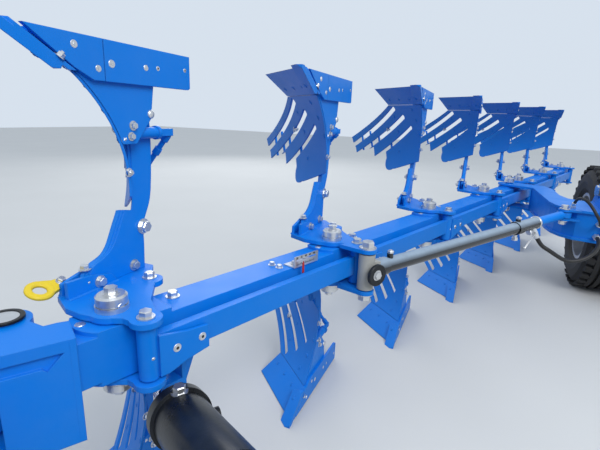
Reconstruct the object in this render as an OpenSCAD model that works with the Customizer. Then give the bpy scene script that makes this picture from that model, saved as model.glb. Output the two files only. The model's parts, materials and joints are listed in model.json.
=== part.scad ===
// Semi-mounted reversible plough: seven pairs of bodies on one slanted beam.
// Row frame: +X is the direction of travel, +Y is left, +Z is up, the ground is at 0.
// Lengths are millimetres and angles are degrees.

/* [Beam] */
// Number of body pairs along the beam
body_count = 7; // [3:1:7]
// Spacing of the bodies along the beam
body_pitch = 1050; // [1000:10:1100]
// Angle between the beam and the direction of travel
beam_angle = 18; // [16:1:24]
// Height of the beam's centre line above the share points
beam_height = 869; // [840:1:900]
// Width and height of the square beam tube
beam_size = 140; // [130:1:150]
// Wall of the beam tube
beam_wall = 10; // [8:1:14]
// Beam length in front of the first pivot
beam_front = 150; // [140:5:200]
// Beam length behind the last pivot
beam_tail = 330; // [300:10:420]

/* [Brackets] */
// Diameter of the pivot pin of each body pair
pivot_pin_d = 60; // [50:1:70]
// Thickness of the wear pad welded on the beam at each pivot
pad_t = 14; // [10:1:18]
// Thickness of the thrust ring between pad and bracket plate
thrust_t = 5; // [5:0.5:8]
// Thickness of a bracket plate
plate_t = 18; // [14:1:24]
// Side clearance of a pin in its bore
pin_gap = 0.05; // [0.03:0.01:0.09]
// Seat clearance of parts that turn against each other
seat_gap = 0.3; // [0.2:0.1:0.5]

/* [Control bar] */
// Distance of the bar's pins behind the pivots, along the beam
bar_pin_u = 40; // [30:1:50]
// Distance of the bar's pins to the left of the beam's middle
bar_pin_v = 118; // [114:1:126]
// Outer diameter of the bar's sleeves
sleeve_d = 58; // [52:1:60]
// Diameter of the bolts through the sleeves
bar_pin_d = 34; // [30:1:38]
// Height of the bar
bar_h = 86; // [70:1:95]
// Thickness of the bar
bar_w = 34; // [24:1:36]
// Height of the bar's middle above the beam's middle
bar_rise = 5; // [0:1:25]

/* [Legs] */
// Thickness of a leg
leg_t = 30; // [25:1:35]
// Thickness of the plates that hold a leg
holder_t = 12; // [10:1:15]
// Distance of the leg's middle to the right of the pivot
leg_y = 177; // [170:1:185]
// Thickness of the frog between leg and landside
frog_t = 40; // [35:1:50]
// Thickness of a landside plate
landside_t = 14; // [10:1:18]

/* [Bodies] */
// Angle of the share's edge to the direction of travel
share_angle = 47; // [42:1:50]
// Radius of the moldboard's hollow
board_r = 520; // [480:5:560]
// Slope of the moldboard's hollow at the ground
board_slope = 30; // [26:1:34]
// Thickness of a moldboard
board_t = 9; // [7:1:12]
// Height of the seam between share and moldboard
share_h = 104; // [95:1:115]
// Thickness of a share
share_t = 12; // [10:1:16]
// Length of the share's edge from landside to wing
share_len = 470; // [440:5:500]
// Width of the reversible chisel point
chisel_w = 64; // [55:1:75]
// Thickness of the chisel point
chisel_t = 22; // [18:1:28]

/* [Wheel] */
// Outer diameter of the tyre
tyre_d = 1180; // [1100:5:1240]
// Width of the tyre
tyre_w = 450; // [400:5:480]
// Diameter of the rim
rim_d = 620; // [560:5:660]
// Depth of the tread ribs
rib_h = 26; // [15:1:35]

/* [Headstock] */
// Diameter of the turnover spindle
spindle_d = 130; // [110:1:150]
// Diameter of the lower link pins
hitch_pin_d = 36.6; // [28:0.1:50.8]
// Distance between the shoulders of the lower link pins
hitch_span = 825; // [700:5:965]
// Diameter of the front pivot of the beam
front_pin_d = 90; // [70:1:100]

/* [Hidden] */
$fn = 48;
blue = [0.02, 0.42, 0.86];
dark = [0.05, 0.05, 0.06];
zinc = [0.72, 0.73, 0.74];
yellow = [0.90, 0.76, 0.08];
cast = [0.45, 0.46, 0.46];

NUMBERS = [for (i = [1:body_count]) i];
PER_BODY = ["bracket", "legs", "boards", "shares", "landsides"];

// Pins and rods
strut_pin_d = 34;
strut_rod_d = 45;
strut_barrel_len = 1290;
eye_pin_d = 28;
memory_pin_d = 36;
memory_rod_d = 70;
arm_pin_d = 70;
lift_pin_d = 30;
axle_d = 90;
swivel_d = 80;
shaft_d = 76;
hitch_pin_len = 125;

// Box at the beam's front end
box_top = 103;
box_h = 310;
box_plate = 33;

// Headstock along the travel direction
head_d = 230;
head_x = [700, 1140];
swivel_x = 1310;
shaft_x = 1500;
stand_w = 70;

// Wheel arm between the neck's end plate and the tyre
neck_end = 548;
neck_end_t = 20;
arm_y = [1790, 1850];
rim_w = 380;

// Place of the strut's pin on the second bracket, from its pivot
strut_pin = [54, 190];

half = beam_size / 2;
pad_top = half + pad_t;
plate_low = pad_top + thrust_t;
plate_top = plate_low + plate_t;
hollow_y = board_r * sin(board_slope);
hollow_z = board_r * cos(board_slope);

// Middle of the whole plough on the ground, from the first pivot
mid_x = -2638;
mid_y = 760;

// Places in the row frame, counted from the first pivot at beam height
front_pin = [180, -200, 0];
spindle_at = [620, 280, 0];
neck_at = [-3690, 1199, 0];
wheel_at = [-3942, 2101, tyre_d / 2 - beam_height];
arm_hinge = [-2930, 1790, -60];
lift_top = [-2520, 1790, 200];
lift_low = [-3130, 1790, 180];
strut_eye = [-2515, 1500, 70];
memory_lug = [236, 617, -100];
memory_eye = [-152, 41, -286];
stand_at = [930, 520];

// Frames in which the parts are drawn

module placed() {
    translate([-mid_x, -mid_y, beam_height]) children();
}

module on_beam() {
    placed() rotate([0, 0, 180 - beam_angle]) children();
}

module at_unit(i) {
    step = (i - 1) * body_pitch;
    placed() translate([-step * cos(beam_angle), step * sin(beam_angle), 0]) children();
}

// The upper body is the lower one mirrored in the beam's middle plane
module up_and_down() {
    children();
    mirror([0, 0, 1]) children();
}

// Board frame of a lower body: x runs along the share to the right rear,
// y points forward out of the hollow, z is the height above the ground
function board_point(x, y, z) = [board_x - x * cos(share_angle) + y * sin(share_angle),
    board_edge_y - x * sin(share_angle) - y * cos(share_angle), z - beam_height];

module on_board() {
    translate([board_x, board_edge_y, -beam_height])
        rotate([0, 0, 180 + share_angle]) children();
}
board_x = 135;
board_edge_y = -130;

// Keeps what lies to the right of a plane
module right_of(y) {
    intersection() {
        children();
        translate([-2000, y - 2000, -1000]) cube([3000, 2000, 1000]);
    }
}

// Shared shapes

module bar(a, b, d) {
    v = b - a;
    translate(a)
        rotate([0, acos(v[2] / norm(v)), atan2(v[1], v[0])])
            cylinder(h = norm(v), d = d);
}

// A flat plate drawn in x and z, as thick as given, in the middle of y
module upright(t) {
    rotate([90, 0, 0]) translate([0, 0, -t / 2]) linear_extrude(t) children();
}

// A cylinder along y that starts at the given place
module cross_pin(at, h, d) {
    translate(at) rotate([-90, 0, 0]) cylinder(h = h, d = d);
}

// A smooth line through the given points, with n steps between neighbours
function smooth(p, n) = concat([for (i = [0:len(p) - 2]) for (k = [0:n - 1])
    between(p[max(i - 1, 0)], p[i], p[i + 1], p[min(i + 2, len(p) - 1)], k / n)], [p[len(p) - 1]]);

function between(a, b, c, d, t) = (2 * b + (c - a) * t + (2 * a - 5 * b + 4 * c - d) * t * t
    + (3 * b - a - 3 * c + d) * t * t * t) / 2;

module tube(h, d, bore) {
    difference() {
        cylinder(h = h, d = d);
        translate([0, 0, -1]) cylinder(h = h + 2, d = bore);
    }
}

// The beam with its pads, seen from the first pivot

function unit_u(i) = (i - 1) * body_pitch;
neck_u = -neck_at[0] * cos(beam_angle) + neck_at[1] * sin(beam_angle);
memory_u = -memory_eye[0] * cos(beam_angle) + memory_eye[1] * sin(beam_angle);
beam_end = unit_u(body_count) + beam_tail;

// Wear pad with a rounded front end
module pad(u, behind, ahead) {
    translate([u, 0, half]) linear_extrude(pad_t) intersection() {
        translate([-ahead, -half]) square([ahead + behind, beam_size]);
        union() {
            translate([0, 12]) circle(d = 2 * ahead);
            translate([0, -half]) square([behind, beam_size]);
        }
    }
}

module beam_solid() {
    translate([-beam_front, -half, -half])
        cube([beam_end + beam_front, beam_size, beam_size]);
    up_and_down() {
        for (i = NUMBERS) pad(unit_u(i), 150, 110);
        pad(neck_u, 95, 95);
    }
    // Tail plate
    translate([beam_end, -half - 12, -half - 12]) cube([14, beam_size + 24, beam_size + 24]);
    // Lug under the beam for the rod of the working width cylinder
    translate([memory_u + 47, -26, memory_eye[2] - 46])
        cube([16, half + 18, -memory_eye[2] - half + 48]);
    for (z = [-46, 56]) translate([memory_u - 24, -26, memory_eye[2] + z])
        cube([74, half, 15]);
    translate([memory_u + 60, -8, memory_eye[2] + 10]) rotate([-90, 0, 0]) linear_extrude(16)
        polygon([[0, 0], [0, memory_eye[2] + half - 2], [90, memory_eye[2] + half - 2]]);
}

module beam_hollow() {
    inner = beam_size - 2 * beam_wall;
    difference() {
        translate([-beam_front + 12, -inner / 2, -inner / 2])
            cube([beam_end + beam_front - 24, inner, inner]);
        // Bosses round the pivot pins
        for (i = NUMBERS) translate([unit_u(i), 0, -half]) cylinder(h = beam_size, d = pivot_pin_d + 36);
        translate([neck_u, 0, -half]) cylinder(h = beam_size, d = pivot_pin_d + 36);
    }
}

module beam() {
    color(blue) on_beam() difference() {
        beam_solid();
        beam_hollow();
        for (i = NUMBERS)
            translate([unit_u(i), 0, -pad_top - 1])
                cylinder(h = 2 * pad_top + 2, d = pivot_pin_d + 2 * pin_gap);
        translate([neck_u, 0, -pad_top - 1])
            cylinder(h = 2 * pad_top + 2, d = pivot_pin_d + 2 * pin_gap);
    }
    // Pin of the working width cylinder under the beam
    color(zinc) placed() translate([memory_eye[0], memory_eye[1], memory_eye[2] - 54])
        cylinder(h = 132, d = 30);
}

// Welded box at the beam's front end: two plates that hold the front pivot, and their walls

module box_plan() {
    polygon([[157, 45], [311, -48], [345, -100], [300, -200], [245, -225], [147, -185],
        [152, -137], [154, -82], [125, -67], [102, -48]]);
    translate([front_pin[0], front_pin[1]]) circle(d = 132);
}

// Walls between the plates: across the beam's end, and set back along the left edge
module box_walls() {
    polygon([[157, 45], [102, -48], [116, -56], [171, 37]]);
    polygon([[151, 35], [302, -56], [295, -67], [144, 24]]);
}

// Outer plate of the left wall, drawn along the edge and in height
module box_side() {
    low = box_top - box_h + 1;
    translate([157, 45, 0]) rotate([0, 0, -31.1]) rotate([90, 0, 0]) linear_extrude(12)
        polygon([[0, low], [0, 90], [12, 88], [70, 28], [80, 38], [176, 38], [176, low]]);
}

module front_box() {
    color(blue) placed() difference() {
        union() {
            for (z = [box_top - box_plate, box_top - box_h])
                translate([0, 0, z]) linear_extrude(box_plate) box_plan();
            translate([0, 0, box_top - box_h + 1]) linear_extrude(box_h - 2) box_walls();
            box_side();
        }
        translate([front_pin[0], front_pin[1], box_top - box_h - 1])
            cylinder(h = box_h + 2, d = front_pin_d + 2 * pin_gap);
        // Seat of the beam tube
        rotate([0, 0, 180 - beam_angle]) translate([-beam_front, -half, -half])
            cube([beam_front, beam_size, beam_size]);
    }
}

// Bracket of one body pair: two plates on the pivot pin, the bar's bolt and the leg holders

module bracket_plan() {
    polygon([[38, 124], [32, 72], [58, 24], [68, -50], [62, -116], [20, -204], [-330, -204],
        [-330, -150], [-262, -95], [-200, -24], [-100, 52], [-46, 124]]);
    circle(d = 2 * pivot_pin_d + 10);
    translate(bar_pin_xy) circle(d = 92);
    translate([-221, -68]) circle(d = 90);
}

// Longer ears of the second bracket for the strut's pin
module strut_ears() {
    polygon([[-46, 124], [60, 60], [strut_pin[0] + 40, strut_pin[1] - 10], [strut_pin[0] - 40, strut_pin[1] + 10]]);
    translate(strut_pin) circle(d = 84);
}
bar_pin_xy = [-bar_pin_u * cos(beam_angle) + bar_pin_v * sin(beam_angle),
    bar_pin_u * sin(beam_angle) + bar_pin_v * cos(beam_angle)];

// Low plate that stands on the bracket and grips the leg
module holder_side(left) {
    if (left) polygon([[24, plate_top - 2], [24, plate_top + 56], [-60, plate_top + 52],
        [-140, plate_top + 32], [-165, plate_top - 2]]);
    else polygon([[14, plate_top - 2], [10, plate_top + 38], [-92, plate_top + 62],
        [-298, plate_top + 60], [-326, plate_top - 2]]);
}

module bracket(i) {
    grip = leg_t / 2 + holder_t / 2;
    color(blue) at_unit(i) {
        up_and_down() {
            translate([0, 0, plate_low]) linear_extrude(plate_t) {
                bracket_plan();
                if (i == 2) strut_ears();
            }
            translate([0, 0, pad_top + seat_gap])
                cylinder(h = plate_low - pad_top - seat_gap, d = pivot_pin_d + 60);
            for (side = [-1, 1])
                translate([0, -leg_y + side * grip, 0]) upright(holder_t) holder_side(side > 0);
            // Washer and nut of the pivot pin
            translate([0, 0, plate_top]) cylinder(h = 14, d = pivot_pin_d + 30);
        }
        translate([0, 0, -plate_top - 46]) cylinder(h = 2 * (plate_top + 46), d = pivot_pin_d);
        translate([bar_pin_xy[0], bar_pin_xy[1], -plate_low])
            cylinder(h = 2 * plate_low, d = bar_pin_d);
        if (i == 2) translate([strut_pin[0], strut_pin[1], -plate_top - 8])
            cylinder(h = 2 * (plate_top + 8), d = strut_pin_d);
    }
}

// Parallel bar that keeps all bodies in line

module control_bar() {
    u_end = unit_u(body_count) + bar_pin_u;
    color(blue) on_beam() {
        for (i = NUMBERS)
            translate([unit_u(i) + bar_pin_u, -bar_pin_v, -plate_low + seat_gap + 6])
                tube(2 * (plate_low - seat_gap - 6), sleeve_d, bar_pin_d + 2 * pin_gap);
        difference() {
            translate([bar_pin_u, -bar_pin_v - bar_w / 2 + 4, bar_rise - bar_h / 2])
                cube([u_end - bar_pin_u, bar_w - 4, bar_h]);
            for (i = NUMBERS)
                translate([unit_u(i) + bar_pin_u, -bar_pin_v, -200])
                    cylinder(h = 400, d = sleeve_d - 8);
        }
        // Bolted end plates beside each sleeve
        for (i = [1:body_count - 1])
            translate([unit_u(i) + bar_pin_u, -bar_pin_v - bar_w / 2 - 8, 0])
                upright(12) end_plate_side();
    }
}

module end_plate_side() {
    polygon([[20, 52], [120, 32], [190, 26], [190, -50], [110, -62], [50, -80], [20, -80]]);
}

// Leg with the frog that carries share, landside and moldboard, lower body

// Front edge from the bracket to the frog, and rear edge back to the bracket
LEG_FRONT = [[-46, -150], [-62, -173], [-108, -190], [-148, -222], [-182, -286], [-209, -340],
    [-232, -400], [-246, 403 - beam_height], [-244, 309 - beam_height], [-200, 229 - beam_height]];
LEG_REAR = [[-340, 69 - beam_height], [-350, 137 - beam_height], [-363, 240 - beam_height],
    [-363, 339 - beam_height], [-356, 441 - beam_height], [-343, -351], [-308, -273], [-304, -194]];

// Side view of the leg; its front edge lies further back by the given inset
module leg_side(inset) {
    top = plate_top + seat_gap;
    front = [for (q = smooth(LEG_FRONT, 4)) q - [inset, inset * 0.3]];
    polygon(concat([[-50 - inset, -top]], front, [[-120, 69 - beam_height]],
        smooth(LEG_REAR, 4), [[-300, -top]]));
}

// Sleeve on the leg's left side, with the stay that runs to the back of the board
module board_stay() {
    at = [-262, -leg_y + leg_t / 2 + 16, stay_z - beam_height];
    eye = [-446, at[1], at[2]];
    foot = board_point(540, hollow_at(530), 530);
    way = foot - eye;
    bar(at, [-376, at[1], at[2]], 40);
    bar([-370, at[1], at[2]], [-384, at[1], at[2]], 48);
    translate([-458, at[1] - 7, at[2] - 13]) cube([80, 14, 26]);
    bar(eye, foot, 20);
    for (t = [0.04, 0.24]) bar(eye + way * t, eye + way * (t + 0.08), 32, $fn = 6);
}
stay_z = 277;

module frog_side() {
    translate([0, -beam_height])
        polygon([[60, 11], [-330, 11], [-350, 109], [-330, 229], [-260, 309], [60, 309]]);
}

// Everything in front of the backs of moldboard and share, up to the board's upper edge
module front_space() {
    seat = share_back + seat_gap / sin(share_tilt);
    on_board() intersection() {
        rotate([90, 0, 0]) translate([0, 0, -900]) linear_extrude(1800)
            polygon([[-300, -60], [1100, -60], [1100, 640], [500, 606], [80, 470], [-300, 470]]);
        rotate([90, 0, 90]) translate([0, 0, -300]) linear_extrude(1400) {
            difference() {
                translate([hollow_y, hollow_z]) circle(r = board_r + board_t + seat_gap, $fn = 96);
                translate([-600, -600]) square([1400, 600 + share_h]);
            }
            polygon([[-seat - 1 / tan(share_tilt), share_h + 1], [700, share_h + 1], [700, -50],
                [-seat + (share_h + 50) / tan(share_tilt), -50]]);
        }
    }
}
share_rise = acos((hollow_z - share_h) / board_r);
share_run = board_r * sin(share_rise) - hollow_y;
share_tilt = atan2(share_h, share_run);
share_back = share_run + share_t / sin(share_tilt);
// Outer face of the landside and the plane of the moldboard's shin
side_y = -leg_y + leg_t / 2 + frog_t + landside_t;
shin_y = side_y - landside_t - 2;

module legs(i) {
    color(blue) at_unit(i) up_and_down() difference() {
        union() {
            // The front edge is rounded off in three steps
            for (k = [0:2]) translate([0, -leg_y, 0]) upright(leg_t - 8 * (2 - k)) leg_side(11 * k);
            translate([0, -leg_y + leg_t / 2 + frog_t / 2, 0]) upright(frog_t) frog_side();
            board_stay();
        }
        front_space();
        chisel_block(seat_gap);
    }
}

// Slatted moldboard, drawn along the share and in height, then bent to its hollow

SLOTS = [
    // start along the share, start height, half width at the start, rise per length
    [432, 128, 15, 0.435],
    [364, 183, 16, 0.470],
    [312, 254, 14, 0.550]
];

module slot_plan(s) {
    run = 1000;
    translate([s[0], s[1]]) circle(r = s[2], $fn = 24);
    polygon([[s[0], s[1] - s[2] * 1.05], [s[0] + run, s[1] - s[2] * 1.6 + run * s[3]],
        [s[0] + run, s[1] + s[2] * 1.6 + run * s[3]], [s[0], s[1] + s[2] * 1.05]]);
}

module board_plan() {
    difference() {
        union() {
            polygon([[0, share_h + 2], [share_len, share_h + 2], [1160, 368], [1136, 420],
                [1092, 452], [1066, 508], [812, 424], [786, 502], [640, 440], [588, 575],
                [500, 566], [80, 430], [0, 370]]);
            translate([560, 520]) circle(r = 62);
        }
        for (s = SLOTS) slot_plan(s);
    }
}

// Links behind the slats, between neighbouring tails
LINKS = [
    // along the share, height of the upper end, height of the lower end
    [1010, 350, 440],
    [880, 330, 400],
    [760, 350, 430],
    [590, 400, 470]
];

module boards(i) {
    color(blue) at_unit(i) up_and_down() right_of(shin_y) on_board() {
        intersection() {
            translate([-20, hollow_y, hollow_z]) rotate([0, 90, 0]) difference() {
                cylinder(h = 1300, r = board_r + board_t, $fn = 96);
                translate([0, 0, -1]) cylinder(h = 1302, r = board_r, $fn = 96);
            }
            rotate([90, 0, 0]) translate([0, 0, -100]) linear_extrude(420) board_plan();
        }
        for (k = LINKS) slat_link(k);
    }
}

function hollow_at(z) = hollow_y - sqrt(pow(board_r + board_t / 2, 2) - pow(hollow_z - z, 2));

module slat_link(k) {
    bar([k[0], hollow_at(k[1]) - 8, k[1] - 26], [k[0] - 30, hollow_at(k[2]) - 8, k[2] + 26], 16, $fn = 16);
}

// Share and chisel point, lower body

// Flat frame of the share's face: x along its edge, y up the slope, z out of its back
module on_share() {
    on_board() rotate([180 - share_tilt, 0, 0]) children();
}

// Turn of the chisel on the share's face that keeps it in line with the landside
chisel_turn = atan(cos(share_tilt) / tan(share_angle));

// The chisel's bar along the landside, grown all round by a gap
module chisel_block(gap) {
    on_share() translate([(side_y - board_edge_y) / -sin(share_angle), 0, -chisel_t - gap])
        rotate([0, 0, -chisel_turn]) translate([-14 - gap, -80, 0])
            cube([chisel_w + 14 + 2 * gap, 62 + gap + share_h / sin(share_tilt) / cos(chisel_turn),
                chisel_t + 2 + gap]);
}

module shares(i) {
    // The blade runs a little above the ground, the point touches it
    lift = 3;
    color(blue) at_unit(i) up_and_down() right_of(side_y) {
        on_board() rotate([90, 0, 90]) linear_extrude(share_len)
            polygon([[-lift * share_run / share_h, lift], [-share_run, share_h], [-share_back, share_h],
                [-share_t / sin(share_tilt) - lift * share_run / share_h, lift]]);
        intersection() {
            chisel_block(0);
            // Above the ground and behind the blunt tip
            translate([-600, -600, -beam_height]) cube([600 + board_x + 42, 1200, share_h]);
        }
    }
}

module landsides(i) {
    color(blue) at_unit(i) up_and_down() difference() {
        translate([0, side_y - landside_t / 2, -beam_height]) upright(landside_t) {
            polygon([[92, 8], [-138, 8], [-138, 124], [-100, 124], [-40, 96], [30, 50]]);
            polygon([[-141, 8], [-525, 8], [-525, 118], [-515, 124], [-141, 124]]);
        }
        front_space();
        chisel_block(seat_gap);
    }
}

// Yellow ring bolted to the front end of the first holder

module lashing_ring() {
    r = [51, -229];
    holder_y = -leg_y - leg_t / 2 - holder_t;
    color(yellow) at_unit(1) translate([0, 0, plate_top + 6]) linear_extrude(14) difference() {
        union() {
            translate(r) circle(d = 82);
            translate([-20, r[1] - 4]) square([60, holder_y - seat_gap - r[1] + 4]);
        }
        translate(r) circle(d = 38);
    }
}

module width_scale() {
    color(zinc) on_beam() translate([700, -80, half + seat_gap]) difference() {
        union() {
            cube([150, 60, 4]);
            cube([150, 4, 46]);
        }
        translate([12, -1, 26]) cube([126, 6, 7]);
        for (x = [35, 105]) translate([x, 34, -1]) cylinder(h = 6, d = 11);
    }
}

// Frame between beam and headstock

module turnover_frame() {
    f = front_pin;
    s = spindle_at;
    m = memory_lug;
    low = box_top - box_h + box_plate + seat_gap;
    high = box_top - box_plate - seat_gap;
    color(blue) placed() {
        // Tongue on the front pin: a sleeve and a box that rises to the flange
        difference() {
            union() {
                translate([f[0], f[1], low]) cylinder(h = high - low, d = 128);
                for (z = [low + 22, high - 42]) translate([0, 0, z]) linear_extrude(20) tongue_plan();
                translate([0, 0, low + 23]) linear_extrude(high - low - 46) tongue_walls();
            }
            // Round windows in the lower plate
            for (x = [330, 480]) translate([x, x * 0.9 - 470, low]) cylinder(h = 60, d = 70);
        }
        translate([f[0], f[1], box_top - box_h - 8]) cylinder(h = box_h + 16, d = front_pin_d);
        // Arm with the lug of the working width cylinder
        for (z = [-57, 29]) translate([0, 0, m[2] + z]) linear_extrude(28) {
            polygon([[626, 250], [626, 440], [m[0] + 60, m[1] + 46], [m[0], m[1] + 50],
                [m[0] + 42, m[1] - 28], [500, 330], [540, 250]]);
            translate([m[0], m[1]]) circle(d = 100);
        }
        translate([0, 0, m[2] - 57]) linear_extrude(114)
            polygon([[626, 320], [626, 424], [430, 546], [350, 574], [500, 440], [560, 340]]);
        translate([m[0], m[1], m[2] - 63]) cylinder(h = 126, d = memory_pin_d);
        // Flange and spindle
        translate(s) rotate([0, 90, 0]) cylinder(h = 36, d = 300);
        translate([s[0] + 8, s[1], s[2]]) rotate([0, 90, 0])
            cylinder(h = head_x[1] + 12 - s[0], d = spindle_d);
        translate([head_x[1] + seat_gap + 2, s[1], s[2]]) rotate([0, 90, 0])
            cylinder(h = 22, d = spindle_d + 40);
    }
}

module tongue_plan() {
    f = front_pin;
    s = spindle_at;
    polygon([[f[0] - 8, f[1] - 60], [430, -180], [s[0] + 10, s[1] - 130], [s[0] + 10, s[1] + 130],
        [560, s[1] + 130], [400, -90], [f[0] + 8, f[1] + 60]]);
}

module tongue_walls() {
    f = front_pin;
    s = spindle_at;
    polygon([[f[0], f[1] - 60], [430, -180], [s[0] + 10, s[1] - 130], [s[0] - 12, s[1] - 120],
        [418, -160], [f[0], f[1] - 40]]);
    polygon([[f[0], f[1] + 60], [400, -90], [560, s[1] + 130], [s[0] + 10, s[1] + 130],
        [s[0] + 10, s[1] + 110], [574, s[1] + 110], [412, -112], [f[0], f[1] + 38]]);
}

// Working width cylinder, from the turnover frame to the lug under the beam

// Turned about the upright pins, then tilted
module along_memory() {
    d = memory_eye - memory_lug;
    placed() translate(memory_lug) rotate([0, 0, atan2(d[1], d[0])])
        rotate([0, memory_tilt, 0]) children();
}
memory_len = norm(memory_eye - memory_lug);
memory_tilt = asin((memory_lug[2] - memory_eye[2]) / memory_len);
memory_rim = memory_len - 159;

module memory_barrel() {
    color(dark) difference() {
        union() {
            placed() translate(memory_lug) cylinder(h = 50, d = 84, center = true);
            along_memory() {
                translate([105, 0, 0]) rotate([0, 90, 0]) cylinder(h = memory_rim - 105, d = 170);
                translate([88, 0, 0]) rotate([0, 90, 0]) cylinder(h = 17, d = 130);
                translate([memory_rim - 46, 0, 0]) rotate([0, 90, 0]) cylinder(h = 46, d = 192);
                translate([20, -28, -12]) cube([80, 56, 24]);
                translate([64, 0, 0]) rotate([0, 90, 0]) cylinder(h = 30, d = 66);
                // Oil ports
                for (x = [140, memory_rim - 80])
                    translate([x, 0, 0]) rotate([90, 0, 0]) cylinder(h = 104, d = 38);
            }
        }
        placed() translate(memory_lug) cylinder(h = 120, d = memory_pin_d + 2 * pin_gap, center = true);
        along_memory() translate([150, 0, 0]) rotate([0, 90, 0])
            cylinder(h = memory_len, d = memory_rod_d + 2 * pin_gap);
    }
}

module memory_rod() {
    color(zinc) difference() {
        union() {
            along_memory() {
                translate([260, 0, 0]) rotate([0, 90, 0]) cylinder(h = memory_len - 365, d = memory_rod_d);
                translate([memory_len - 106, 0, 0]) rotate([0, 90, 0]) cylinder(h = 72, d = 40);
            }
            placed() translate(memory_eye) cylinder(h = 46, d = 80, center = true);
        }
        placed() translate(memory_eye) cylinder(h = 120, d = memory_pin_d + 8, center = true);
    }
}

// Headstock that turns on the spindle, with the upright bearing of the swivel

module turnover_head() {
    s = spindle_at;
    cheek = 26;
    color(blue) placed() {
        // Bearing tube with a collar at each end
        translate([head_x[0], s[1], s[2]]) rotate([0, 90, 0])
            tube(head_x[1] - head_x[0], head_d, spindle_d + 2 * pin_gap);
        for (x = [head_x[0], head_x[1] - 36])
            translate([x, s[1], s[2]]) rotate([0, 90, 0]) tube(36, head_d + 30, head_d - 10);
        // Cheeks that taper to the swivel, each with a window
        for (side = [-1, 1])
            translate([0, s[1] + side * (head_d / 2 - cheek / 2 + 6), 0]) upright(cheek) difference() {
                polygon([[head_x[0] + 60, -70], [head_x[0] + 60, 70], [head_x[0] + 190, 128],
                    [head_x[1] - 20, 128], [swivel_x - 100, 104], [swivel_x + 10, 104], [swivel_x + 10, -104],
                    [swivel_x - 100, -104], [head_x[1] - 20, -128], [head_x[0] + 190, -128]]);
                translate([(head_x[1] + swivel_x) / 2 - 8, 0]) circle(d = 110);
            }
        // Plates over and under the spindle's nut, and the bearing of the swivel
        difference() {
            union() {
                up_and_down() translate([head_x[1] - 30, s[1] - head_d / 2, 91])
                    cube([swivel_x - head_x[1] + 30, head_d, 14]);
                translate([swivel_x, s[1], -105]) cylinder(h = 210, d = 150);
                translate([swivel_x - 12, s[1] - head_d / 2, -92]) cube([24, head_d, 184]);
            }
            translate([swivel_x, s[1], -106]) cylinder(h = 212, d = swivel_d + 2 * pin_gap);
        }
        // Sleeve of the parking stand on two arms
        difference() {
            union() {
                translate([stand_at[0] - 50, stand_at[1] - 50, -110]) cube([100, 100, 220]);
                for (z = [-80, 50]) translate([stand_at[0] - 42, s[1] + head_d / 2 - 30, z])
                    cube([84, stand_at[1] - s[1] - head_d / 2, 30]);
                translate([stand_at[0] - 12, s[1] + head_d / 2 - 12, -60])
                    cube([24, stand_at[1] - s[1] - head_d / 2 - 20, 120]);
            }
            translate([stand_at[0] - stand_w / 2 - 0.5, stand_at[1] - stand_w / 2 - 0.5, -111])
                cube([stand_w + 1, stand_w + 1, 222]);
        }
    }
}

module stand_leg() {
    color(blue) placed() {
        translate([stand_at[0], stand_at[1], -beam_height]) cylinder(h = 16, d = 220);
        translate([stand_at[0], stand_at[1], -beam_height + 10]) cylinder(h = 40, d1 = 150, d2 = 104);
        translate([stand_at[0] - stand_w / 2, stand_at[1] - stand_w / 2, -beam_height + 10])
            cube([stand_w, stand_w, beam_height + 190]);
    }
}

// Yoke that swings sideways on the headstock and carries the cross shaft

module swivel_yoke() {
    s = spindle_at;
    color(blue) placed() difference() {
        union() {
            up_and_down() translate([0, 0, 105 + 6]) linear_extrude(28) {
                translate([swivel_x, s[1]]) circle(d = 190);
                polygon([[swivel_x, s[1] - 95], [shaft_x, s[1] - 170], [shaft_x, s[1] + 170],
                    [swivel_x, s[1] + 95]]);
            }
            translate([swivel_x, s[1], -150]) cylinder(h = 300, d = swivel_d);
            translate([shaft_x - 30, s[1] - 170, -139]) cube([30, 340, 278]);
            cross_pin([shaft_x, s[1] - 170, 0], 340, shaft_d + 50);
        }
        cross_pin([shaft_x, s[1] - 171, 0], 342, shaft_d + 2 * pin_gap);
    }
}

module cross_shaft() {
    s = spindle_at;
    reach = hitch_span / 2;
    color(zinc) placed() {
        cross_pin([shaft_x, s[1] - reach, 0], hitch_span, shaft_d);
        for (side = [-1, 1]) {
            cross_pin([shaft_x, s[1] + side * (reach - 12) - 12, 0], 24, shaft_d + 24);
            cross_pin([shaft_x, s[1] + side * (reach + hitch_pin_len / 2) - hitch_pin_len / 2, 0],
                hitch_pin_len, hitch_pin_d);
        }
        // Rings beside the bearing
        for (side = [-1, 1])
            cross_pin([shaft_x, s[1] + side * (170 + 12) - 10, 0], 20, shaft_d + 24);
    }
}

// Long strut from the second bracket to the wheel's neck

strut_start = [-body_pitch * cos(beam_angle) + strut_pin[0], body_pitch * sin(beam_angle) + strut_pin[1], 0];
strut_dir = strut_eye - strut_start;
strut_len = norm(strut_dir);

module along_strut() {
    placed() translate(strut_start)
        rotate([0, 90 - acos(-strut_dir[2] / strut_len), atan2(strut_dir[1], strut_dir[0])]) children();
}

module strut_mount() {
    color(cast) placed() translate(strut_start) difference() {
        union() {
            cylinder(h = 2 * plate_low - 12, d = 74, center = true);
            rotate([0, 0, atan2(strut_dir[1], strut_dir[0])]) {
                translate([0, -30, -45]) cube([58, 60, 90]);
                cross_pin([34, -44, 0], 88, 44);
            }
        }
        cylinder(h = 400, d = strut_pin_d + 2 * pin_gap, center = true);
    }
}

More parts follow.
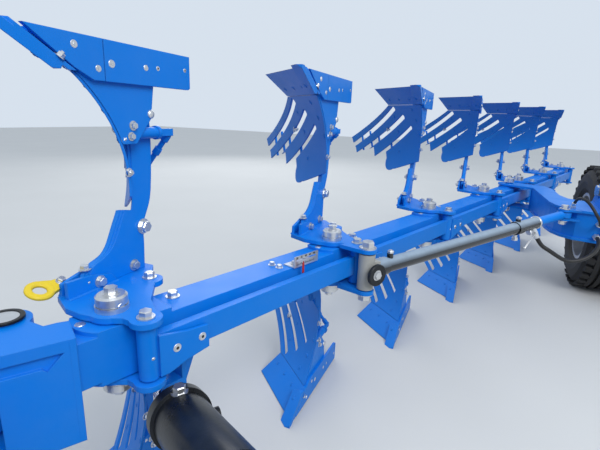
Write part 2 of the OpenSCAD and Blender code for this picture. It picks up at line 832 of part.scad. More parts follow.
module strut_barrel() {
    color(dark) along_strut() difference() {
        union() {
            translate([60, 0, 0]) rotate([0, 90, 0]) cylinder(h = strut_barrel_len - 60, d = 72);
            for (x = [60, strut_barrel_len - 60])
                translate([x, 0, 0]) rotate([0, 90, 0]) cylinder(h = 60, d = 84);
            // Oil ports
            for (x = [150, strut_barrel_len - 30]) translate([x, 0, 0]) cylinder(h = 58, d = 30);
        }
        translate([200, 0, 0]) rotate([0, 90, 0]) cylinder(h = strut_len, d = strut_rod_d + 2 * pin_gap);
    }
}

module strut_rod() {
    flat = atan2(strut_dir[1], strut_dir[0]);
    color(blue) {
        along_strut() {
            translate([strut_barrel_len - 500, 0, 0]) rotate([0, 90, 0])
                cylinder(h = strut_len - strut_barrel_len + 450, d = strut_rod_d);
            translate([strut_barrel_len + 60, 0, 0]) rotate([0, 90, 0])
                cylinder(h = strut_len - strut_barrel_len - 105, d = 60);
        }
        placed() translate(strut_eye) difference() {
            union() {
                cylinder(h = 36, d = 92, center = true);
                rotate([0, 0, flat]) translate([-58, -22, -16]) cube([34, 44, 32]);
            }
            cylinder(h = 40, d = eye_pin_d + 16, center = true);
        }
    }
}

// Swan neck that carries the wheel, drawn from its pivot on the beam

module neck_plan() {
    polygon([[90, -30], [165, 150], [200, 195], [440, 211], [740, 231], [880, 240], [1000, 265],
        [1090, 310], [1150, 380], [1175, 500], [1175, neck_end], [700, neck_end], [690, 470], [640, 400],
        [500, 361], [160, 351], [-20, 300], [-90, 30]]);
    circle(d = 190);
}

// The box between the flanges starts beyond the control bar
module neck_web() {
    polygon([[160, 185], [440, 225], [740, 245], [880, 255], [992, 280], [1078, 322], [1135, 388],
        [1160, 500], [1160, neck_end], [715, neck_end], [704, 466], [648, 386], [500, 347], [160, 337]]);
}

module neck_end_side() {
    polygon([[690, -120], [690, 70], [1090, 262], [1230, 262], [1230, 150], [1190, -plate_top],
        [1100, -plate_top], [860, -130]]);
}

module wheel_neck() {
    eye = strut_eye - neck_at;
    hinge = arm_hinge - neck_at;
    top = lift_top - neck_at;
    color(blue) placed() translate(neck_at) {
        up_and_down() {
            translate([0, 0, plate_low]) linear_extrude(plate_t) neck_plan();
            translate([0, 0, pad_top + seat_gap])
                cylinder(h = plate_low - pad_top - seat_gap, d = pivot_pin_d + 60);
        }
        translate([0, 0, -plate_top - 24]) cylinder(h = 2 * plate_top + 48, d = pivot_pin_d);
        translate([0, 0, -plate_low]) linear_extrude(2 * plate_low) neck_web();
        translate([0, neck_end + neck_end_t / 2, 0]) upright(neck_end_t) neck_end_side();
        // Pins of the wheel arm and of the lift cylinder
        cross_pin([hinge[0], neck_end, hinge[2]], arm_y[1] + 14 - neck_at[1] - neck_end, arm_pin_d);
        cross_pin([top[0], neck_end, top[2]], arm_y[1] + 8 - neck_at[1] - neck_end, lift_pin_d);
        // Fork for the strut's eye
        for (z = [-38, 24]) translate([0, 0, eye[2] + z]) linear_extrude(14) {
            translate([eye[0], eye[1]]) circle(d = 80);
            polygon([[eye[0] - 46, eye[1] - 20], [eye[0] + 20, eye[1] - 36], [eye[0] + 20, eye[1] + 100],
                [eye[0] - 130, eye[1] + 60]]);
        }
        translate([eye[0], eye[1], eye[2] - 44]) cylinder(h = 88, d = eye_pin_d);
    }
}

// Wheel arm, lift cylinder and wheel

module wheel_arm() {
    h = arm_hinge;
    w = wheel_at;
    l = lift_low;
    t = arm_y[1] - arm_y[0];
    mid = (arm_y[0] + arm_y[1]) / 2;
    ring = neck_at[1] + neck_end + neck_end_t + seat_gap;
    color(blue) placed() difference() {
        union() {
            translate([0, mid, 0]) upright(t)
                polygon([[h[0] + 10, h[2] + 66], [h[0] - 360, h[2] + 40], [w[0] - 10, w[2] + 66],
                    [w[0] + 10, w[2] - 66], [h[0] - 360, h[2] - 130], [h[0] - 10, h[2] - 66]]);
            cross_pin([h[0], ring, h[2]], arm_y[1] - ring, 132);
            cross_pin([w[0], arm_y[0], w[2]], t, 132);
            // Lug for the lift cylinder
            translate([0, mid, 0]) upright(24) {
                polygon([[h[0] - 90, h[2] + 50], [h[0] - 420, h[2] + 20], [l[0] - 46, l[2] + 8],
                    [l[0] + 22, l[2] + 2], [l[0] + 30, l[2] - 50]]);
                translate([l[0], l[2]]) circle(d = 100);
            }
            // Stub axle
            cross_pin([w[0], mid, w[2]], w[1] + 70 - mid, axle_d);
            cross_pin([w[0], mid, w[2]], w[1] - 190 - mid, axle_d + 40);
        }
        cross_pin([h[0], ring - 1, h[2]], arm_y[1] + 2 - ring, arm_pin_d + 2 * pin_gap);
        cross_pin([l[0], arm_y[0] - 1, l[2]], t + 2, lift_pin_d + 26);
    }
}

lift_dir = lift_low - lift_top;
lift_len = norm(lift_dir);

module along_lift() {
    placed() translate([lift_top[0], (arm_y[0] + arm_y[1]) / 2, lift_top[2]])
        rotate([0, 180 + atan2(lift_dir[2], -lift_dir[0]), 0]) children();
}

module lift_barrel() {
    color(dark) along_lift() difference() {
        union() {
            cross_pin([0, -22, 0], 44, 74);
            translate([36, 0, 0]) rotate([0, 90, 0]) cylinder(h = lift_len - 210, d = 90);
            translate([10, -20, -24]) cube([40, 40, 48]);
        }
        cross_pin([0, -40, 0], 80, lift_pin_d + 2 * pin_gap);
        translate([80, 0, 0]) rotate([0, 90, 0]) cylinder(h = lift_len, d = 45 + 2 * pin_gap);
    }
}

module lift_rod() {
    color(zinc) along_lift() {
        translate([160, 0, 0]) rotate([0, 90, 0]) cylinder(h = lift_len - 160 - 80, d = 45);
        // Clevis with its pin
        for (side = [-1, 1]) translate([lift_len, side * 24, 0]) upright(14) {
            circle(d = 84);
            translate([-100, -30]) square([100, 60]);
        }
        translate([lift_len - 102, -30, -30]) cube([26, 60, 60]);
        cross_pin([lift_len, -31, 0], 62, lift_pin_d);
    }
}

module rim() {
    color(zinc) placed() translate(wheel_at) rotate([-90, 0, 0]) {
        difference() {
            union() {
                translate([0, 0, -rim_w / 2]) tube(rim_w, rim_d, rim_d - 24);
                for (z = [-rim_w / 2, rim_w / 2 - 15]) translate([0, 0, z]) tube(15, rim_d + 32, rim_d - 10);
                translate([0, 0, 40]) cylinder(h = 14, d = rim_d - 20);
                translate([0, 0, -150]) cylinder(h = 250, d = 190);
            }
            translate([0, 0, -151]) cylinder(h = 231, d = axle_d + 2 * pin_gap);
            for (a = [0:60:300]) rotate(a) translate([215, 0, 30]) cylinder(h = 40, d = 70);
        }
    }
}

module tyre_half() {
    r = tyre_d / 2 - rib_h;
    bead = rim_d / 2;
    side = tyre_w / 2;
    polygon([[r, 0], [r, side - 90], [r - 20, side - 34], [r - 60, side - 6], [r - 130, side],
        [bead + 60, side - 12], [bead + 18, rim_w / 2 - 16], [bead, rim_w / 2 - 16],
        [bead, rim_w / 2 - 52], [bead + 26, rim_w / 2 - 50], [bead + 70, side - 38],
        [r - 130, side - 24], [r - 74, side - 32], [r - 46, side - 84], [r - 38, 0]]);
}

module tyre() {
    color(dark) placed() translate(wheel_at) rotate([90, 0, 0]) {
        rotate_extrude($fn = 72) {
            tyre_half();
            mirror([0, 1]) tyre_half();
        }
        rotate_extrude($fn = 72) for (y = [-120, -60, 0, 60, 120])
            translate([tyre_d / 2 - rib_h - 2, y - 18]) square([rib_h + 2, 36]);
    }
}

beam();
front_box();
control_bar();
lashing_ring();
width_scale();
turnover_frame();
memory_barrel();
memory_rod();
turnover_head();
stand_leg();
swivel_yoke();
cross_shaft();
strut_mount();
strut_barrel();
strut_rod();
wheel_neck();
lift_barrel();
lift_rod();
wheel_arm();
rim();
tyre();
for (i = NUMBERS) {
    bracket(i);
    legs(i);
    boards(i);
    shares(i);
    landsides(i);
}
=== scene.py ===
import json
import math

import bmesh
import bpy
from mathutils import Matrix, Vector
from mathutils.bvhtree import BVHTree
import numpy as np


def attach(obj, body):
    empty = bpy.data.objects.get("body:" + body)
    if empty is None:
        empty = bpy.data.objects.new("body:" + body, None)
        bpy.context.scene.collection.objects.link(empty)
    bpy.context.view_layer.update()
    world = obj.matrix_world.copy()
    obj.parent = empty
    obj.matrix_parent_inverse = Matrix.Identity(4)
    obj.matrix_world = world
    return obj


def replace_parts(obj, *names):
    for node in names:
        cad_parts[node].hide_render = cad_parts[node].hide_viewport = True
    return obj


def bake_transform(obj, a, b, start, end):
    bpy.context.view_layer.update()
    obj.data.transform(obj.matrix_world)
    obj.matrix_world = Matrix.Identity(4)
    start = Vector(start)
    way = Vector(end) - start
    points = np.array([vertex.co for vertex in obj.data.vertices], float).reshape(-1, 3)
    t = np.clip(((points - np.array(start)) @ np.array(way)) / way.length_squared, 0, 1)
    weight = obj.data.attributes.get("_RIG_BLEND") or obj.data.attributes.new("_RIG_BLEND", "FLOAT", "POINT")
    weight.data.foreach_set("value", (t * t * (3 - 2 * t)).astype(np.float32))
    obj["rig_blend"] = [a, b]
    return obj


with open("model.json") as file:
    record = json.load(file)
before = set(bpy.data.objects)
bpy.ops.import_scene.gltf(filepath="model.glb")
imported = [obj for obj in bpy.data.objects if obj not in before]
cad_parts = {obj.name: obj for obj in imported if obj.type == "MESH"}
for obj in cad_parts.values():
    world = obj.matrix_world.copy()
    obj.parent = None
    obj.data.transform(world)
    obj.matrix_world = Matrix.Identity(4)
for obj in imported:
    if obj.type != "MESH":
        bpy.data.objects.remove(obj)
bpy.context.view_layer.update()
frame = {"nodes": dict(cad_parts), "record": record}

nodes = frame["nodes"]
bodyOf = {node: body for body, members in frame["record"]["behaviour"]["bodies"].items()
          for node in members}

# Metres. Places are from the first unit's pivot at beam height: x ahead, y left, z up
firstPivot = Vector((2.638, -0.760, 0.869))
unitCount = 7
unitPitch = 1.05
beamAngle = math.radians(18)            # the beam's slant from straight back
shareAngle = math.radians(47)           # a share's slant from straight back
sharePoint = (0.135, -0.130)
spindleLine = 0.280                     # y of the headstock's spindle
wheelHub = (-3.942, 2.101, -0.279)
hubSide = (wheelHub[0], 2.6, wheelHub[2])   # outside the wheel
outside = 0.6                           # where a line towards a part starts


def fromPivot(x, y, z):
    return firstPivot + Vector((x, y, z))


def atUnit(i, x, y, z):
    # The same place on unit i
    back = (i - 1) * unitPitch
    return fromPivot(x - back * math.cos(beamAngle), y + back * math.sin(beamAngle), z)


def onBeam(u, v, w):
    # u runs back along the beam, v to the plough's right, w up
    c, s = math.cos(beamAngle), math.sin(beamAngle)
    return fromPivot(-c * u - s * v, s * u - c * v, w)


def boardPlace(x, y, z):
    # x runs back along the share, y forward out of the board, z up from the ground; seen from a pivot
    c, s = math.cos(shareAngle), math.sin(shareAngle)
    return Vector((sharePoint[0] - x * c + y * s, sharePoint[1] - x * s - y * c, z - firstPivot.z))


# Camera

cameraSet = {
    "place": (0.8030, 0.9270, 0.6696),  # from the first pivot
    "yaw": 203.116,
    "pitch": 14.776,
    "roll": 2.155,
    "focal": 415.09,                    # pixels
    "width": 600,                       # pixels
    "sensor": 36,                       # millimetres
}


def makeCamera(v):
    yaw, pitch, roll = (math.radians(v[key]) for key in ("yaw", "pitch", "roll"))
    ahead = Vector((math.cos(yaw) * math.cos(pitch), math.sin(yaw) * math.cos(pitch), -math.sin(pitch)))
    right = Vector((math.sin(yaw), -math.cos(yaw), 0))
    up = right.cross(ahead)
    right, up = (math.cos(roll) * right + math.sin(roll) * up,
                 math.cos(roll) * up - math.sin(roll) * right)
    data = bpy.data.cameras.new("photoCamera")
    data.sensor_width = v["sensor"]
    data.lens = v["focal"] / v["width"] * v["sensor"]
    data.clip_start = 0.05
    data.clip_end = 200
    camera = bpy.data.objects.new("photoCamera", data)
    turn = Matrix((right, up, -ahead)).transposed().to_4x4()
    camera.matrix_world = Matrix.Translation(fromPivot(*v["place"])) @ turn
    bpy.context.scene.collection.objects.link(camera)
    bpy.context.scene.camera = camera


makeCamera(cameraSet)
print("camera set")


# Shader helpers


class Signal:
    # One socket's value, so that plain sums add their Math nodes
    def __init__(self, tree, socket):
        self.tree, self.socket = tree, socket

    def math(self, operation, *values):
        node = self.tree.nodes.new("ShaderNodeMath")
        node.operation = operation
        for slotIn, value in zip(node.inputs, values):
            if isinstance(value, Signal):
                self.tree.links.new(value.socket, slotIn)
            else:
                slotIn.default_value = value
        return Signal(self.tree, node.outputs[0])

    def __add__(self, other):
        return self.math("ADD", self, other)

    def __radd__(self, other):
        return self.math("ADD", other, self)

    def __sub__(self, other):
        return self.math("SUBTRACT", self, other)

    def __rsub__(self, other):
        return self.math("SUBTRACT", other, self)

    def __mul__(self, other):
        return self.math("MULTIPLY", self, other)

    def clamp(self):
        node = self.tree.nodes.new("ShaderNodeClamp")
        self.tree.links.new(self.socket, node.inputs[0])
        return Signal(self.tree, node.outputs[0])


class Finish:
    # A material under construction
    def __init__(self, name):
        self.material = bpy.data.materials.new(name)
        self.material.use_nodes = True
        self.tree = self.material.node_tree
        self.shader = self.tree.nodes["Principled BSDF"]
        self.place = self.make("ShaderNodeTexCoord", out="Object")

    def make(self, kind, settings=(), values=(), out=0):
        node = self.tree.nodes.new(kind)
        for key, value in dict(settings).items():
            setattr(node, key, value)
        for key, value in dict(values).items():
            self.give(node.inputs[key], value)
        return Signal(self.tree, node.outputs[out])

    def give(self, socket, value):
        if isinstance(value, Signal):
            self.tree.links.new(value.socket, socket)
        elif socket.type == "RGBA":
            socket.default_value = (*value, 1)
        else:
            socket.default_value = value

    def noise(self, scale, detail=2.0, rough=0.5):
        return self.make("ShaderNodeTexNoise", {}, {"Vector": self.place, "Scale": scale,
                                                    "Detail": detail, "Roughness": rough})

    def mix(self, share, a, b):
        return self.make("ShaderNodeMix", {"data_type": "RGBA"}, {0: share, 6: a, 7: b}, out=2)

    def softEdge(self, radius):
        # The normal of a rounded edge, and how far it leans from the flat face's own
        rounded = self.make("ShaderNodeBevel", {"samples": 4}, {"Radius": radius})
        flat = self.make("ShaderNodeNewGeometry", out="Normal")
        lean = self.make("ShaderNodeVectorMath", {"operation": "DOT_PRODUCT"}, {0: rounded, 1: flat},
                         out="Value")
        return rounded, (1.0 - lean).clamp()

    def patches(self, scale, detail, rough, contrast, level):
        # Noise drawn apart into clear patches
        return (self.noise(scale, detail, rough) * contrast - level).clamp()

    def bump(self, height, distance, strength, over=None):
        values = {"Height": height, "Distance": distance, "Strength": strength}
        if over:
            values["Normal"] = over
        return self.make("ShaderNodeBump", {}, values)

    def set(self, **values):
        for key, value in values.items():
            self.give(self.shader.inputs[key.replace("_", " ")], value)
        return self.material


# Finishes. Noise is scale, detail, roughness, and for patches contrast and level; bump is depth, strength

enamelSet = {
    "edge": 0.004,                      # radius over which an edge wears
    "edgeContrast": 3.0,
    "wear": (0.10, 0.45),               # along every edge, and more where it is chipped
    "chips": (55.0, 4.0, 0.7, 6.0, 3.4),
    "drift": (1.7, 3.0),                # slow change of the colour
    "driftShare": 0.7,
    "dust": (6.0, 5.0, 0.62, 2.6, 0.95),
    "dustTone": (0.30, 0.36, 0.42),
    "dustShare": 0.05,
    "dustRough": 0.16,
    "peel": (90.0, 1.0),                # orange peel of the sprayed coat, and a finer grain
    "grain": (420.0, 2.0),
    "grainShare": 0.4,
    "bump": (0.0006, 0.35),
    "coat": (0.05, 0.16),               # weight, roughness
    "specular": 0.20,
}


def enamel(name, colour, lighter, rough=0.38, scuff=(0.22, 0.40, 0.66)):
    v = enamelSet
    f = Finish(name)
    rounded, edge = f.softEdge(v["edge"])
    dust, chips = f.patches(*v["dust"]), f.patches(*v["chips"])
    wear = (edge * v["edgeContrast"]).clamp() * (v["wear"][0] + chips * v["wear"][1])
    tone = f.mix(f.noise(*v["drift"]) * v["driftShare"], colour, lighter)
    tone = f.mix(dust * v["dustShare"], tone, v["dustTone"])
    peel = f.noise(*v["peel"]) + f.noise(*v["grain"]) * v["grainShare"]
    return f.set(Base_Color=f.mix(wear, tone, scuff), Roughness=rough + dust * v["dustRough"],
                 Normal=f.bump(peel, *v["bump"], rounded), Coat_Weight=v["coat"][0],
                 Coat_Roughness=v["coat"][1], Specular_IOR_Level=v["specular"])


platedSet = {"cloud": (28.0, 4.0, 0.6), "cloudRough": 0.16, "darker": 0.82, "grain": (600.0, 2.0),
             "bump": (0.0003, 0.4), "metallic": 0.9}


def plated(name, colour, rough):
    v = platedSet
    f = Finish(name)
    cloud = f.noise(*v["cloud"])
    tone = f.mix(cloud, tuple(c * v["darker"] for c in colour), colour)
    return f.set(Base_Color=tone, Metallic=v["metallic"], Roughness=rough + cloud * v["cloudRough"],
                 Normal=f.bump(f.noise(*v["grain"]), *v["bump"]))


rubberSet = {"dust": (9.0, 5.0, 0.6, 2.2, 0.8), "dustTone": (0.06, 0.057, 0.053), "dustShare": 0.2,
             "dustRough": 0.1, "grain": (180.0, 3.0), "bump": (0.0008, 0.4)}


def rubber(name, colour, rough):
    v = rubberSet
    f = Finish(name)
    dust = f.patches(*v["dust"])
    return f.set(Base_Color=f.mix(dust * v["dustShare"], colour, v["dustTone"]),
                 Roughness=rough + dust * v["dustRough"],
                 Normal=f.bump(f.noise(*v["grain"]), *v["bump"]))


# Painted sky reflection on gloss paint: how it grows on faces that look up, its noise patches and their
# share, and the roughness it adds
paintedSkySheenSet = {"facing": (1.5, 0.2), "paintedSheen": (26.0, 4.0, 0.6), "paintedSheenShare": (0.72, 0.5),
                "paintedSheenRough": 0.2, "grain": (240.0, 2.0), "bump": (0.0004, 0.4), "coat": (0.3, 0.1)}


def paintedSkySheen(name, colour, top, rough):
    # Glossy paint with a painted reflection of the sky: the colour top, in noise patches, on the faces that
    # look up
    v = paintedSkySheenSet
    f = Finish(name)
    facing = f.make("ShaderNodeNewGeometry", out="Normal")
    up = f.make("ShaderNodeSeparateXYZ", {}, {0: facing}, out=2)
    patches = v["paintedSheenShare"][0] + f.noise(*v["paintedSheen"]) * v["paintedSheenShare"][1]
    # Painted sky reflection: stronger the more a face looks up
    paintedSheen = ((up * v["facing"][0] - v["facing"][1]).clamp() * patches).clamp()
    return f.set(Base_Color=f.mix(paintedSheen, colour, top), Roughness=rough + paintedSheen * v["paintedSheenRough"],
                 Coat_Weight=v["coat"][0], Coat_Roughness=v["coat"][1],
                 Normal=f.bump(f.noise(*v["grain"]), *v["bump"]))


castSet = {"cloud": (12.0, 4.0), "darker": 0.75, "pits": (160.0, 4.0, 0.65), "pitRough": 0.2,
           "bump": (0.0016, 0.8), "metallic": 0.25}


def casting(name, colour, rough):
    v = castSet
    f = Finish(name)
    pits = f.noise(*v["pits"])
    tone = f.mix(f.noise(*v["cloud"]), tuple(c * v["darker"] for c in colour), colour)
    return f.set(Base_Color=tone, Roughness=rough + pits * v["pitRough"], Metallic=v["metallic"],
                 Normal=f.bump(pits, *v["bump"]))


finishes = {
    "blue": enamel("blueEnamel", (0.000, 0.180, 0.680), (0.000, 0.225, 0.800)),
    "yellow": enamel("yellowEnamel", (0.780, 0.560, 0.020), (0.840, 0.640, 0.040)),
    "red": enamel("redEnamel", (0.420, 0.012, 0.010), (0.480, 0.020, 0.015)),
    "black": enamel("blackEnamel", (0.006, 0.007, 0.009), (0.010, 0.011, 0.013), 0.26,
                    (0.06, 0.06, 0.06)),
    # The strut's black barrel, with a painted reflection of the sky on its top
    "barrel": paintedSkySheen("barrelPaint", (0.008, 0.010, 0.013), (0.26, 0.34, 0.43), 0.24),
    "zinc": plated("zincPlate", (0.72, 0.73, 0.74), 0.24),
    "chrome": plated("chromedRod", (0.80, 0.81, 0.82), 0.08),
    # Nearly black metal, used only for the painted shade in socket heads' holes
    "dark": plated("holeShadeMetal", (0.05, 0.05, 0.055), 0.40),
    "cast": casting("bareCasting", (0.46, 0.46, 0.43), 0.55),
    "tyre": rubber("tyreRubber", (0.008, 0.008, 0.009), 0.66),
    "hose": rubber("hoseRubber", (0.007, 0.007, 0.008), 0.46),
}
# The record's slot that each finish belongs to, and the finish of a slot's CAD nodes
slotOf = {"blue": "blue_paint", "yellow": "yellow_paint", "red": "yellow_paint", "black": "black_paint",
          "barrel": "black_paint", "zinc": "zinc_steel", "chrome": "zinc_steel", "dark": "black_paint",
          "cast": "cast_grey", "tyre": "tyre_rubber", "hose": "black_paint"}
slotFinish = {slotOf[finish]: finish for finish in ("blue", "yellow", "black", "zinc", "cast", "tyre")}
ownFinish = {"strut_barrel": "barrel", "memory_rod": "chrome", "lift_rod": "chrome"}

for subpart in frame["record"]["subparts"]:
    name = subpart["node"]
    mesh = nodes[name].data
    mesh.materials.clear()
    mesh.materials.append(finishes[ownFinish.get(name, slotFinish[subpart["material_slot"]])])
print("finishes set on", len(nodes), "nodes")


# Seats on the solids' own surfaces

surfaces = {}


def seat(node, start, way):
    # Where a line from start first meets the node
    if node not in surfaces:
        mesh = nodes[node].data
        surfaces[node] = BVHTree.FromPolygons([v.co for v in mesh.vertices],
                                              [p.vertices for p in mesh.polygons])
    place, normal, _, _ = surfaces[node].ray_cast(start, Vector(way).normalized())
    if place is None:
        print("nothing met on", node, tuple(round(c, 3) for c in start))
    return place, normal


def addPiece(name, mesh, body, finish):
    piece = bpy.data.objects.new(name, mesh)
    bpy.context.scene.collection.objects.link(piece)
    mesh.materials.append(finishes[finish])
    if body:
        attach(piece, body)
    return piece


# Geometry node trees

class Steps:
    # A Geometry Nodes tree under construction
    def __init__(self, name, sizes):
        self.tree = bpy.data.node_groups.new(name, "GeometryNodeTree")
        face = self.tree.interface
        face.new_socket("Geometry", in_out="INPUT", socket_type="NodeSocketGeometry")
        for key, value in sizes.items():
            kind = "NodeSocketInt" if isinstance(value, int) else "NodeSocketFloat"
            face.new_socket(key, in_out="INPUT", socket_type=kind).default_value = value
        face.new_socket("Finish", in_out="INPUT", socket_type="NodeSocketMaterial")
        face.new_socket("Geometry", in_out="OUTPUT", socket_type="NodeSocketGeometry")
        self.start = self.tree.nodes.new("NodeGroupInput").outputs
        self.end = self.tree.nodes.new("NodeGroupOutput").inputs[0]

    def make(self, kind, settings=(), values=(), out=0):
        # A list links several values to one socket
        node = self.tree.nodes.new(kind)
        for key, value in dict(settings).items():
            setattr(node, key, value)
        for key, value in dict(values).items():
            for one in value if isinstance(value, list) else [value]:
                if isinstance(one, bpy.types.NodeSocket):
                    self.tree.links.new(one, node.inputs[key])
                else:
                    node.inputs[key].default_value = one
        return node.outputs[out]

    def math(self, operation, *values):
        return self.make("ShaderNodeMath", {"operation": operation}, dict(enumerate(values)))

    def stored(self, name, kind):
        return self.make("GeometryNodeInputNamedAttribute", {"data_type": kind}, {"Name": name})

    def vector(self, **values):
        return self.make("ShaderNodeCombineXYZ", {}, values)

    def moved(self, shape, **values):
        return self.make("GeometryNodeTransform", {}, {"Geometry": shape, **values})

    def join(self, *shapes):
        return self.make("GeometryNodeJoinGeometry", {}, {0: list(shapes)})

    def disc(self, sides, radius, height, base=0.0):
        # A straight disc that stands on its base
        body = self.make("GeometryNodeMeshCylinder", {}, {"Vertices": sides, "Radius": radius,
                                                          "Depth": height})
        middle = self.math("MULTIPLY_ADD", height, 0.5, base)
        return self.moved(body, Translation=self.vector(Z=middle))

    def taper(self, sides, low, high, height, base=0.0):
        body = self.make("GeometryNodeMeshCone", {}, {"Vertices": sides, "Radius Bottom": low,
                                                      "Radius Top": high, "Depth": height})
        return self.moved(body, Translation=self.vector(Z=base))

    def aligned(self, axis):
        # Lays the shape's axis along each point's way
        return self.make("FunctionNodeAlignRotationToVector", {"axis": axis},
                         {"Vector": self.stored("axis", "FLOAT_VECTOR")})

    def spun(self, rotation, angle):
        # A further turn about the shape's own upright
        turn = self.make("FunctionNodeEulerToRotation", {}, {0: self.vector(Z=angle)})
        return self.make("FunctionNodeRotateRotation", {"rotation_space": "LOCAL"},
                         {"Rotation": rotation, "Rotate By": turn})

    def standing(self, shape, rotation, **values):
        # The shape on each of the tree's points
        return self.make("GeometryNodeInstanceOnPoints", {}, {
            "Points": self.start["Geometry"], "Instance": shape, "Rotation": rotation, **values})

    def finish(self, geometry):
        real = self.make("GeometryNodeRealizeInstances", {}, {0: geometry})
        painted = self.make("GeometryNodeSetMaterial", {}, {"Geometry": real,
                                                            "Material": self.start["Finish"]})
        self.tree.links.new(painted, self.end)
        return self.tree


def pointMesh(name, rows):
    # Points, each with a way, a size and a style
    places, ways, sizes, styles = zip(*rows)
    mesh = bpy.data.meshes.new(name)
    mesh.from_pydata(places, [], [])
    mesh.attributes.new("axis", "FLOAT_VECTOR", "POINT").data.foreach_set(
        "vector", [c for way in ways for c in way])
    mesh.attributes.new("size", "FLOAT", "POINT").data.foreach_set("value", sizes)
    mesh.attributes.new("style", "INT", "POINT").data.foreach_set("value", styles)
    return mesh


def grow(name, rows, tree, body, finish):
    # Runs a tree over points and keeps the result as one plain mesh
    source = bpy.data.objects.new(name, pointMesh(name, rows))
    bpy.context.scene.collection.objects.link(source)
    step = source.modifiers.new("grow", "NODES")
    step.node_group = tree
    names = {item.name: item.identifier for item in tree.interface.items_tree
             if item.in_out == "INPUT"}
    step[names["Finish"]] = finishes[finish]
    bpy.context.view_layer.update()
    shown = source.evaluated_get(bpy.context.evaluated_depsgraph_get())
    made = bpy.data.meshes.new_from_object(shown)
    source.modifiers.clear()
    source.data = made
    for key in [a.name for a in made.attributes if a.name in ("axis", "size", "style")]:
        made.attributes.remove(made.attributes[key])
    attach(source, body)


# Bolts, nuts and pins' ends

# The last kind is a dark hex disc: painted shade where a socket head's hole is
boltKinds = ["hex", "nut", "plough", "dome", "socket", "cap", "painted", "holeShade"]
boltFinish = {"painted": "blue", "holeShade": "dark"}
boltPiece = {"zinc": "bolts", "blue": "painted_bolts", "dark": "hole_shades"}
boltSizes = {"Washer width": 0.78, "Head height": 0.50, "Chamfer": 0.08, "Seed": 7}


def boltTree():
    # Every head is drawn one unit wide, and each point's size scales it
    t = Steps("bolts", boltSizes)
    washer, height, chamfer = (t.start[key] for key in ("Washer width", "Head height", "Chamfer"))
    corner = 0.5774                     # a unit hexagon's radius, over its corners

    def hexHead(base):
        top = t.taper(6, corner, 0.5, chamfer)
        up = t.math("ADD", height, base - 0.001)
        return t.join(t.disc(6, corner, height, base), t.moved(top, Translation=t.vector(Z=up)))

    ring = t.disc(28, washer, 0.11)
    ball = t.make("GeometryNodeMeshUVSphere", {}, {"Segments": 20, "Rings": 12, "Radius": 0.5})
    shapes = {
        "hex": t.join(ring, hexHead(0.10)),
        "nut": t.join(ring, hexHead(0.10), t.disc(16, 0.30, 0.30, 0.62)),
        "plough": t.join(t.taper(24, 0.50, 0.44, 0.07, -0.01), t.taper(4, 0.19, 0.17, 0.05, 0.055)),
        "dome": t.moved(ball, Scale=(1, 1, 0.62)),
        "socket": t.join(t.taper(28, 0.50, 0.46, 0.05, -0.005), t.taper(28, 0.36, 0.34, 0.04, 0.044)),
        # A dark hex disc on a socket head's top: painted shade in place of its hex hole
        "holeShade": t.disc(6, 0.20, 0.012, 0.078),
        # The pivot pin's washer, its ring, and the bolt that holds them
        "cap": t.join(t.disc(40, 0.50, 0.17), t.disc(36, 0.43, 0.06, 0.16), t.disc(40, 0.475, 0.24, 0.20),
                      t.taper(40, 0.475, 0.41, 0.06, 0.439), t.disc(28, 0.25, 0.04, 0.49),
                      t.disc(6, 0.20, 0.20, 0.52)),
        "painted": t.join(t.taper(20, 0.50, 0.40, 0.10, -0.01), t.taper(4, 0.17, 0.15, 0.06, 0.085)),
    }
    spin = t.make("FunctionNodeRandomValue", {"data_type": "FLOAT"},
                  {2: 0.0, 3: 6.283, "Seed": t.start["Seed"]}, out=1)
    turn = t.spun(t.aligned("Z"), spin)
    size, style = t.stored("size", "FLOAT"), t.stored("style", "INT")
    placed = []
    for k, kind in enumerate(boltKinds):
        chosen = t.make("FunctionNodeCompare", {"data_type": "INT", "operation": "EQUAL"},
                        {2: style, 3: k})
        placed.append(t.standing(shapes[kind], turn, Selection=chosen, Scale=size))
    return t.finish(t.join(*placed))


fitted = {}


def fit(kind, node, start, way, width, sink=0.0, facing=False):
    # A head of the given width where a line from start meets the node
    place, normal = seat(node, start, way)
    if place is None:
        return
    axis = normal if facing else -Vector(way).normalized()
    # A socket head also gets its dark disc of painted shade where its hole is
    for part in [kind, "holeShade"] if kind == "socket" else [kind]:
        fitted.setdefault((bodyOf[node], boltFinish.get(part, "zinc")), []).append(
            (place - axis * sink, axis, width, boltKinds.index(part)))


def fitRing(kind, node, middle, across, way, count, radius, width, shift=0.0):
    # Heads round an axis that lies level
    for k in range(count):
        a = (k + shift) / count * 2 * math.pi
        start = middle + (Vector(across) * math.cos(a) + Vector((0, 0, math.sin(a)))) * radius
        fit(kind, node, start, way, width)


seenWay = {"above": (0, 0, -1), "left": (0, -1, 0), "right": (0, 1, 0)}

